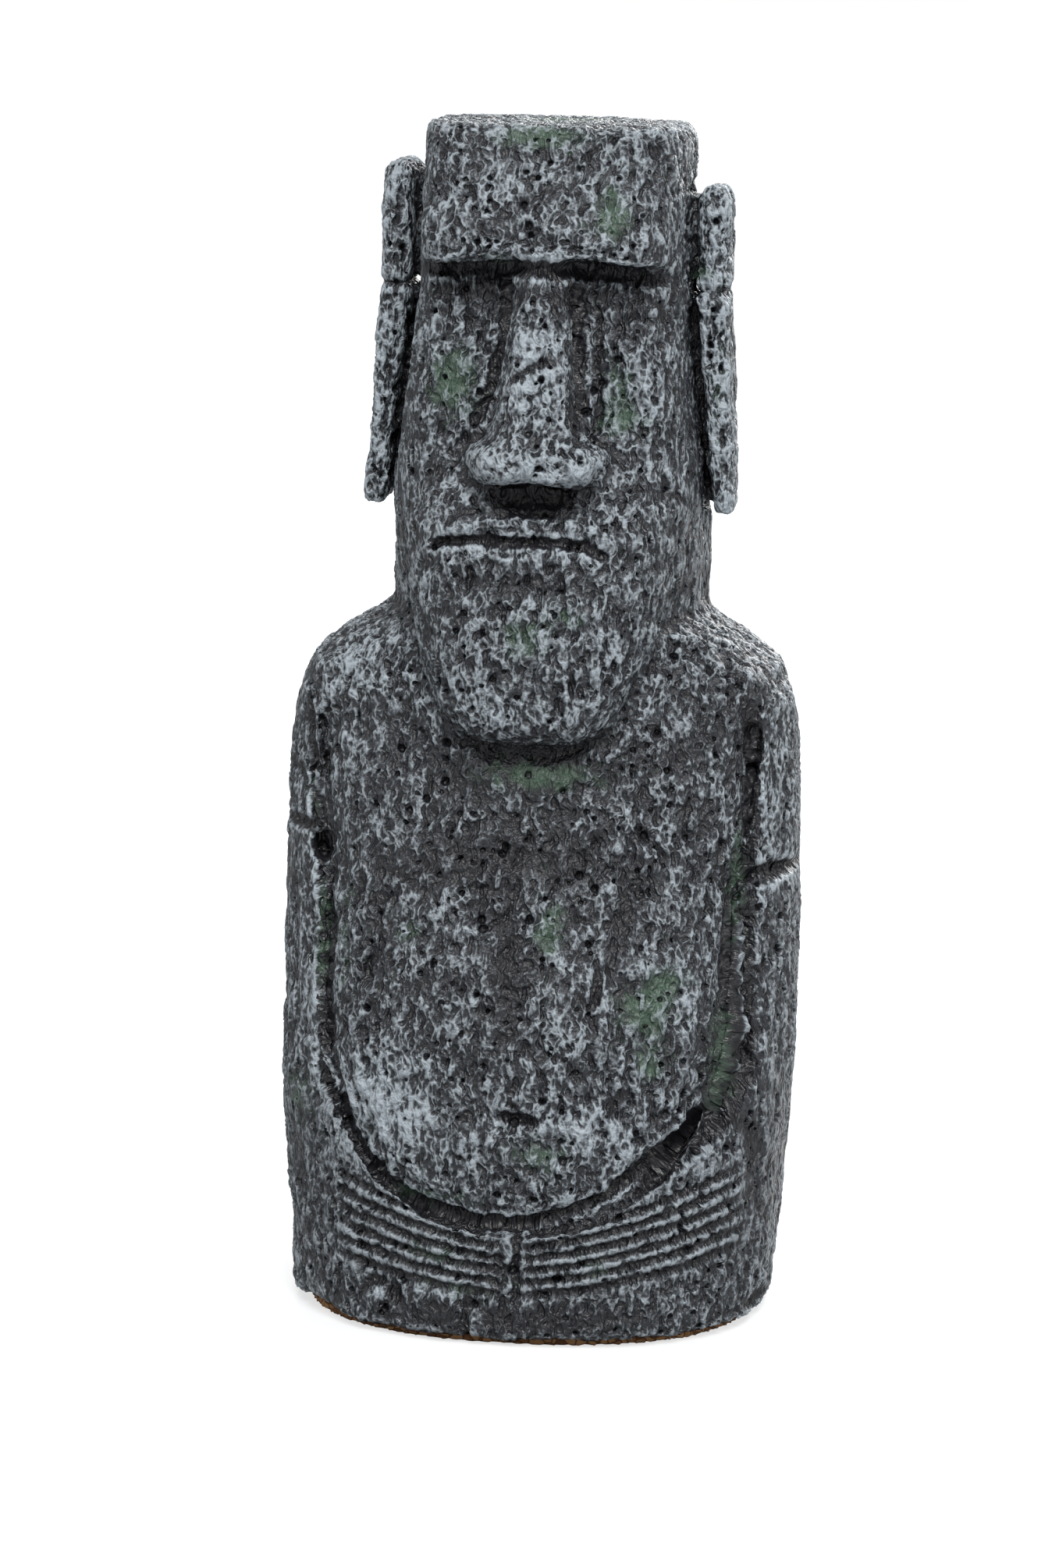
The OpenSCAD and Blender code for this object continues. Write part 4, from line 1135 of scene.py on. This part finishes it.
def islands(node: str) -> list[np.ndarray]:
    """Returns the points, in metres, of each separate solid of a CAD node."""
    item = merged_copy([node], "islands")
    points, edges = read(item.data.vertices, "co"), read(item.data.edges, "vertices", 2)
    bpy.data.objects.remove(item)
    label = np.arange(len(points))
    while True:
        low = np.minimum(label[edges[:, 0]], label[edges[:, 1]])
        before = label.copy()
        np.minimum.at(label, edges[:, 0], low)
        np.minimum.at(label, edges[:, 1], low)
        if (label == before).all():
            return [points[label == value] for value in np.unique(label)]


@dataclass
class Fittings:
    """What holds the pieces together out of sight: fluted pegs and the base plate's screws.

    Attributes:
        flutes: Grooves round a peg.
        flute_depth: Their depth as a share of the peg's radius.
        chamfer: Share of a peg's length that tapers at each end.
        sides: Sides of a peg or a screw.
        pitch: Pitch of a screw's thread, millimetres.
        thread_depth: Depth of the thread.
    """

    flutes: int = 12
    flute_depth: float = 0.07
    chamfer: float = 0.09
    sides: int = 48
    pitch: float = 0.9
    thread_depth: float = 0.3

    def peg_tree(self) -> bpy.types.NodeTree:
        """Builds the tree that stands a fluted peg on each point, along its axis."""
        tree = bpy.data.node_groups.new("fluted pegs", "GeometryNodeTree")
        new_interface(tree, {"Geometry": ("Geometry", None), "Material": ("Material", None),
                             "Flutes": ("Float", float(self.flutes)), "Flute Depth": ("Float", self.flute_depth),
                             "Chamfer": ("Float", self.chamfer)}, {"Geometry": "Geometry"})
        graph = Graph(tree)
        ins = graph.add("NodeGroupInput").outputs
        line = graph.add("GeometryNodeCurvePrimitiveLine", {"Start": (0, 0, -0.5), "End": (0, 0, 0.5)}).outputs[0]
        line = graph.add("GeometryNodeResampleCurve", {"Curve": line, "Count": 25}, mode="COUNT").outputs[0]
        factor = graph.add("GeometryNodeSplineParameter").outputs["Factor"]
        end = graph.math("MINIMUM", factor, graph.math("SUBTRACT", 1.0, factor))
        radius = graph.ramp(end, 0.0, ins["Chamfer"], 0.86, 1.0)
        line = graph.add("GeometryNodeSetCurveRadius", {"Curve": line, "Radius": radius}).outputs[0]
        ring = graph.add("GeometryNodeCurvePrimitiveCircle", {"Resolution": self.sides * 2, "Radius": 1.0}).outputs[0]
        turn = graph.math("MULTIPLY", factor, graph.math("MULTIPLY", ins["Flutes"], math.tau))
        groove = graph.math("POWER", graph.math("MULTIPLY_ADD", graph.math("COSINE", turn), 0.5, 0.5), 3.0)
        groove = graph.math("MULTIPLY", groove, graph.math("MULTIPLY", ins["Flute Depth"], -1.0))
        place = graph.add("GeometryNodeInputPosition").outputs[0]
        ring = graph.add("GeometryNodeSetPosition", {"Geometry": ring, "Offset": graph.vector("SCALE", place, groove)})
        peg = graph.add("GeometryNodeCurveToMesh", {"Curve": line, "Profile Curve": ring.outputs[0],
                                                    "Fill Caps": True}).outputs[0]
        axis = graph.add("GeometryNodeInputNamedAttribute", {"Name": "axis"}, data_type="FLOAT_VECTOR").outputs[0]
        size = graph.add("GeometryNodeInputNamedAttribute", {"Name": "size"}, data_type="FLOAT_VECTOR").outputs[0]
        turn = graph.add("FunctionNodeAlignRotationToVector", {"Vector": axis}, axis="Z").outputs[0]
        keys = {"Points": ins["Geometry"], "Instance": peg, "Rotation": turn, "Scale": size}
        shape = graph.add("GeometryNodeInstanceOnPoints", keys).outputs[0]
        shape = graph.add("GeometryNodeRealizeInstances", {"Geometry": shape}).outputs[0]
        shape = graph.add("GeometryNodeSetMaterial", {"Geometry": shape, "Material": ins["Material"]}).outputs[0]
        graph.add("NodeGroupOutput", {"Geometry": shape})
        return tree

    def pegs(self, node: str, tree: bpy.types.NodeTree, material: bpy.types.Material) -> None:
        """Makes the fluted pegs that stand for a CAD node.

        Args:
            node: The CAD node.
            tree: The tree that makes a peg on each point.
            material: Their finish.
        """
        centres, axes, sizes = [], [], []
        for points in islands(node):
            low, high = points.min(0), points.max(0)
            middle = (low + high) / 2
            spread = np.linalg.svd(points - points.mean(0), full_matrices=False)[2]
            along = (points - middle) @ spread[0]
            across = points - middle - np.outer(along, spread[0])
            radius = np.linalg.norm(across, axis=1).max()
            centres.append(middle)
            axes.append(spread[0])
            sizes.append((radius, radius, np.ptp(along)))
        mesh = bpy.data.meshes.new(node)
        mesh.from_pydata([tuple(centre) for centre in centres], [], [])
        store(mesh, "axis", np.array(axes))
        store(mesh, "size", np.array(sizes))
        seat(run_tree(linked(node, mesh), tree, {"Material": material}, f"{node}_fluted"), Slot.PEGS, node)

    def screw_tree(self, length: float, head: float, shank: float) -> bpy.types.NodeTree:
        """Builds the tree that stands a cross-head screw, head down, on each point.

        Args:
            length: The screw's length, metres.
            head: Radius of its head.
            shank: Radius of its shank over the thread.

        Returns:
            The tree.
        """
        tree = bpy.data.node_groups.new("plate screws", "GeometryNodeTree")
        new_interface(tree, {"Geometry": ("Geometry", None), "Material": ("Material", None),
                             "Pitch": ("Float", self.pitch * MM), "Thread": ("Float", self.thread_depth * MM),
                             "Head Radius": ("Float", head), "Shank Radius": ("Float", shank)},
                      {"Geometry": "Geometry"})
        graph = Graph(tree)
        ins = graph.add("NodeGroupInput").outputs
        cap = length * 0.17
        keys = {"Vertices": self.sides, "Side Segments": 90, "Radius": ins["Shank Radius"], "Depth": length - cap}
        shank_mesh = graph.add("GeometryNodeMeshCylinder", keys).outputs["Mesh"]
        place = graph.add("GeometryNodeInputPosition").outputs[0]
        parts = graph.add("ShaderNodeSeparateXYZ", {"Vector": place}).outputs
        turn = graph.math("DIVIDE", graph.math("ARCTAN2", parts[1], parts[0]), math.tau)
        wave = graph.math("FRACT", graph.math("ADD", turn, graph.math("DIVIDE", parts[2], ins["Pitch"])))
        cut = graph.math("MULTIPLY", graph.math("ABSOLUTE", graph.math("MULTIPLY_ADD", wave, 2.0, -1.0)), ins["Thread"])
        point = graph.ramp(parts[2], (length - cap) * 0.5 - 1.6 * MM, (length - cap) * 0.5, 0.0, shank * 0.75)
        inward = graph.math("DIVIDE", graph.math("ADD", cut, point), ins["Shank Radius"])
        level = graph.vector("MULTIPLY", place, (-1.0, -1.0, 0.0))
        keys = {"Geometry": shank_mesh, "Offset": graph.vector("SCALE", level, graph.math("MINIMUM", inward, 0.9))}
        shank_mesh = graph.add("GeometryNodeSetPosition", keys).outputs[0]
        keys = {"Geometry": shank_mesh, "Translation": (0.0, 0.0, cap * 0.5)}
        shank_mesh = graph.add("GeometryNodeTransform", keys).outputs[0]
        keys = {"Vertices": self.sides, "Side Segments": 6, "Radius": ins["Head Radius"], "Depth": cap}
        cap_mesh = graph.add("GeometryNodeMeshCylinder", keys).outputs["Mesh"]
        taper = graph.ramp(parts[2], -cap * 0.5, cap * 0.5, 0.0, -(1.0 - shank / head) * 0.9)
        keys = {"Geometry": cap_mesh, "Offset": graph.vector("MULTIPLY", graph.vector("SCALE", place, taper), (1, 1, 0))}
        cap_mesh = graph.add("GeometryNodeSetPosition", keys).outputs[0]
        for size in ((head * 1.1, head * 0.26, cap), (head * 0.26, head * 1.1, cap)):
            bar = graph.add("GeometryNodeMeshCube", {"Size": size}).outputs["Mesh"]
            bar = graph.add("GeometryNodeTransform", {"Geometry": bar, "Translation": (0, 0, -cap * 0.45)}).outputs[0]
            cap_mesh = graph.add("GeometryNodeMeshBoolean", {"Mesh 1": cap_mesh, "Mesh 2": bar},
                                 operation="DIFFERENCE").outputs[0]
        keys = {"Geometry": cap_mesh, "Translation": (0.0, 0.0, (cap - length) * 0.5)}
        cap_mesh = graph.add("GeometryNodeTransform", keys).outputs[0]
        both = graph.add("GeometryNodeJoinGeometry")
        for part in (cap_mesh, shank_mesh):
            tree.links.new(part, both.inputs[0])
        shape = graph.add("GeometryNodeInstanceOnPoints", {"Points": ins["Geometry"], "Instance": both.outputs[0]})
        shape = graph.add("GeometryNodeRealizeInstances", {"Geometry": shape.outputs[0]}).outputs[0]
        shape = graph.add("GeometryNodeSetMaterial", {"Geometry": shape, "Material": ins["Material"]}).outputs[0]
        graph.add("NodeGroupOutput", {"Geometry": shape})
        return tree

    def screws(self, node: str, material: bpy.types.Material) -> None:
        """Makes the screws that stand for a CAD node."""
        found = islands(node)
        first = found[0] - (found[0].min(0) + found[0].max(0)) / 2
        reach = np.hypot(first[:, 0], first[:, 1])
        length = np.ptp(first[:, 2])
        tree = self.screw_tree(length, reach.max(), reach[first[:, 2] > length * 0.4].max())
        mesh = bpy.data.meshes.new(node)
        mesh.from_pydata([tuple((points.min(0) + points.max(0)) / 2) for points in found], [], [])
        seat(run_tree(linked(node, mesh), tree, {"Material": material}, f"{node}_threaded"), Slot.SCREWS, node)

    def build(self) -> None:
        """Makes every peg and screw."""
        wood, tree = TurnedWood().build("beech"), self.peg_tree()
        for node in ("neck_pegs", "ear_pegs", "arm_pegs"):
            self.pegs(node, tree, wood)
        self.screws("plate_screws", Steel().build("screw steel"))


@dataclass
class Base:
    """The moulded base plate and the cork pad under it.

    Attributes:
        voxel: Distance between the pad's points, millimetres.
        crumble: How deep the cork's surface is broken.
    """

    voxel: float = 0.5
    crumble: float = 0.12

    def cork_tree(self, cork: Cork) -> bpy.types.NodeTree:
        """Builds the tree that breaks the pad's surface into granules."""
        tree = bpy.data.node_groups.new("cork granules", "GeometryNodeTree")
        new_interface(tree, {"Geometry": ("Geometry", None), "Material": ("Material", None),
                             "Granule": ("Float", cork.granule), "Depth": ("Float", self.crumble)},
                      {"Geometry": "Geometry"})
        graph = Graph(tree)
        ins = graph.add("NodeGroupInput").outputs
        place = graph.vector("SCALE", graph.add("GeometryNodeInputPosition").outputs[0], 1.0 / MM)
        cells = graph.cells(place, ins["Granule"], feature="DISTANCE_TO_EDGE").outputs["Distance"]
        low = graph.math("MULTIPLY", graph.ramp(cells, 0.2, 0.0), graph.math("MULTIPLY", ins["Depth"], -MM))
        normal = graph.add("GeometryNodeInputNormal").outputs[0]
        keys = {"Geometry": ins["Geometry"], "Offset": graph.vector("SCALE", normal, low)}
        shape = graph.add("GeometryNodeSetPosition", keys).outputs[0]
        shape = graph.add("GeometryNodeRealizeInstances", {"Geometry": shape}).outputs[0]
        shape = graph.add("GeometryNodeSetMaterial", {"Geometry": shape, "Material": ins["Material"]}).outputs[0]
        graph.add("NodeGroupOutput", {"Geometry": shape})
        return tree

    def build(self) -> None:
        """Makes the pad and finishes the plate, whose CAD shape stays."""
        cork = Cork()
        pad = remeshed(merged_copy(["base_pad"], "pad"), self.voxel, "pad")
        pad = run_tree(pad, self.cork_tree(cork), {"Material": cork.build("pressed cork")}, "base_pad_cork")
        seat(pad, Slot.PAD, "base_pad")
        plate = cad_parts["base_plate"]
        plate.data.materials.clear()
        plate.data.materials.append(MouldedPlastic().build("moulded plastic"))
        log.info("base_plate: the CAD shape, refinished")


# ---------------------------------------------------------------- studio

@dataclass
class Camera:
    """The camera, at the height and turn that the figure is looked at from.

    Attributes:
        azimuth: Turn to the figure's left, degrees.
        reach: Level distance to the figure, metres.
        height: Height of the lens over the table, metres.
        tilt: Degrees that it looks down.
        pan: Degrees that it looks to the side of the figure's axis.
        roll: Degrees that the frame is turned.
        lens: Focal length in millimetres for a 36 mm long side.
    """

    azimuth: float = 6.0
    reach: float = 0.650
    height: float = 0.178
    tilt: float = 9.76
    pan: float = 0.17
    roll: float = -1.35
    lens: float = 119.2

    def build(self) -> None:
        """Makes the camera and gives it to the scene."""
        turn, tilt, roll = (math.radians(angle) for angle in (self.azimuth, self.tilt, self.roll))
        level = Vector((math.cos(turn), math.sin(turn), 0.0))
        ahead = Vector((-math.sin(turn) * math.cos(tilt), math.cos(turn) * math.cos(tilt), -math.sin(tilt)))
        upright = level.cross(ahead)
        right = level * math.cos(roll) - upright * math.sin(roll)
        up = upright * math.cos(roll) + level * math.sin(roll)
        ahead = (ahead - right * math.tan(math.radians(self.pan))).normalized()
        right = ahead.cross(up).normalized()
        up = right.cross(ahead)
        data = bpy.data.cameras.new("camera")
        data.lens, data.sensor_width, data.clip_start = self.lens, 36.0, 0.05
        item = bpy.data.objects.new("camera", data)
        place = Vector((math.sin(turn) * self.reach, -math.cos(turn) * self.reach, self.height))
        rows = [(right[i], up[i], -ahead[i], place[i]) for i in range(3)]
        item.matrix_world = Matrix((*rows, (0.0, 0.0, 0.0, 1.0)))
        bpy.context.scene.collection.objects.link(item)
        bpy.context.scene.camera = item


@dataclass
class Lamp:
    """A soft box.

    Attributes:
        name: Its name.
        place: Its middle, metres.
        width: Its side, metres.
        power: Its power, watts.
    """

    name: str
    place: tuple[float, float, float]
    width: float
    power: float

    def build(self, target: Vector) -> None:
        """Makes the lamp, turned to the target."""
        data = bpy.data.lights.new(self.name, "AREA")
        data.size, data.energy = self.width, self.power
        item = bpy.data.objects.new(self.name, data)
        item.location = self.place
        item.rotation_euler = (target - Vector(self.place)).to_track_quat("-Z", "Y").to_euler()
        bpy.context.scene.collection.objects.link(item)


@dataclass
class Studio:
    """A white table in soft, even light.

    Attributes:
        daylight: Brightness of the white all round.
        table: Side of the table, metres.
        glow: How white the table looks to the camera beyond the light that falls on it.
        canopy: Strength of the broad light overhead.
        lamps: The soft boxes.
    """

    daylight: float = 0.30
    table: float = 16.0
    glow: float = 0.66
    canopy: float = 2.9
    lamps: tuple[Lamp, ...] = (
        Lamp("right", (0.80, -0.20, 0.40), 0.35, 1.6),
        Lamp("left", (-0.80, -0.20, 0.40), 0.35, 1.0),
        Lamp("back", (0.25, 0.85, 0.45), 0.60, 7.0),
    )

    def build(self) -> None:
        """Makes the world, the table and the lamps."""
        world = bpy.data.worlds.new("studio")
        bpy.context.scene.world = world
        world.use_nodes = True
        graph = Graph(world.node_tree)
        seen = graph.add("ShaderNodeLightPath").outputs["Is Camera Ray"]
        strength = graph.math("MULTIPLY_ADD", seen, 1.0 - self.daylight, self.daylight)
        sky = world.node_tree.nodes["Background"].inputs
        sky["Color"].default_value = (1.0, 1.0, 1.0, 1.0)
        world.node_tree.links.new(strength, sky["Strength"])
        bpy.context.scene.view_settings.view_transform = "Standard"
        canopy = bpy.data.lights.new("canopy", "SUN")
        canopy.energy, canopy.angle = self.canopy, math.radians(34)
        overhead = bpy.data.objects.new("canopy", canopy)
        overhead.rotation_euler = (math.radians(38), math.radians(8), 0.0)
        bpy.context.scene.collection.objects.link(overhead)
        half = self.table / 2
        mesh = bpy.data.meshes.new("table")
        mesh.from_pydata([(-half, -half, 0), (half, -half, 0), (half, half, 0), (-half, half, 0)], [], [(0, 1, 2, 3)])
        table = linked("table", mesh)
        material, graph, shader = new_material("white table")
        shader.inputs["Base Color"].default_value = (0.42, 0.43, 0.44, 1.0)
        shader.inputs["Roughness"].default_value = 0.22
        shader.inputs["Emission Color"].default_value = (1.0, 1.0, 1.0, 1.0)
        watched = graph.add("ShaderNodeLightPath").outputs["Is Camera Ray"]
        material.node_tree.links.new(graph.math("MULTIPLY", watched, self.glow), shader.inputs["Emission Strength"])
        mesh.materials.append(material)
        low, high = CAD_BOUNDS
        for lamp in self.lamps:
            lamp.build((low + high) / 2)


def main() -> None:
    """Builds the camera, the studio and then each sub-assembly."""
    logging.basicConfig(level=logging.INFO, format="%(name)s: %(message)s")
    Camera().build()
    Studio().build()
    head, torso, arms, grit = Head(), Torso(), Arms(), Grit()
    stone = [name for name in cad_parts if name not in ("neck_pegs", "ear_pegs", "arm_pegs", "plate_screws")]
    skin = Skin(stone, pushes=head.pushes() + torso.pushes() + arms.pushes(),
                strokes=head.strokes() + torso.strokes() + arms.strokes(), calm=head.calm() + torso.calm(),
                moss=head.moss() + torso.moss() + arms.moss(), worn=head.worn() + torso.worn() + arms.worn()).build()
    group = StoneFinish.group(grit)
    finishes = {
        Slot.BODY: StoneFinish().build("cast stone, body", group),
        Slot.HEAD: StoneFinish().build("cast stone, head", group),
        # The ears get more crest colour: painted light on their sides.
        Slot.EARS: StoneFinish(brush_and_light=1.5).build("cast stone, ears", group),
        Slot.ARMS: StoneFinish().build("cast stone, arms", group),
        Slot.HANDS: StoneFinish(brush_and_light=0.72).build("cast stone, hands", group),
    }
    mason = Mason(skin, grit.relief_tree(), finishes)
    for assembly in (torso, head, arms):
        assembly.build(mason)
    bpy.data.objects.remove(skin)
    Fittings().build()
    Base().build()


if __name__ == "__main__":
    main()
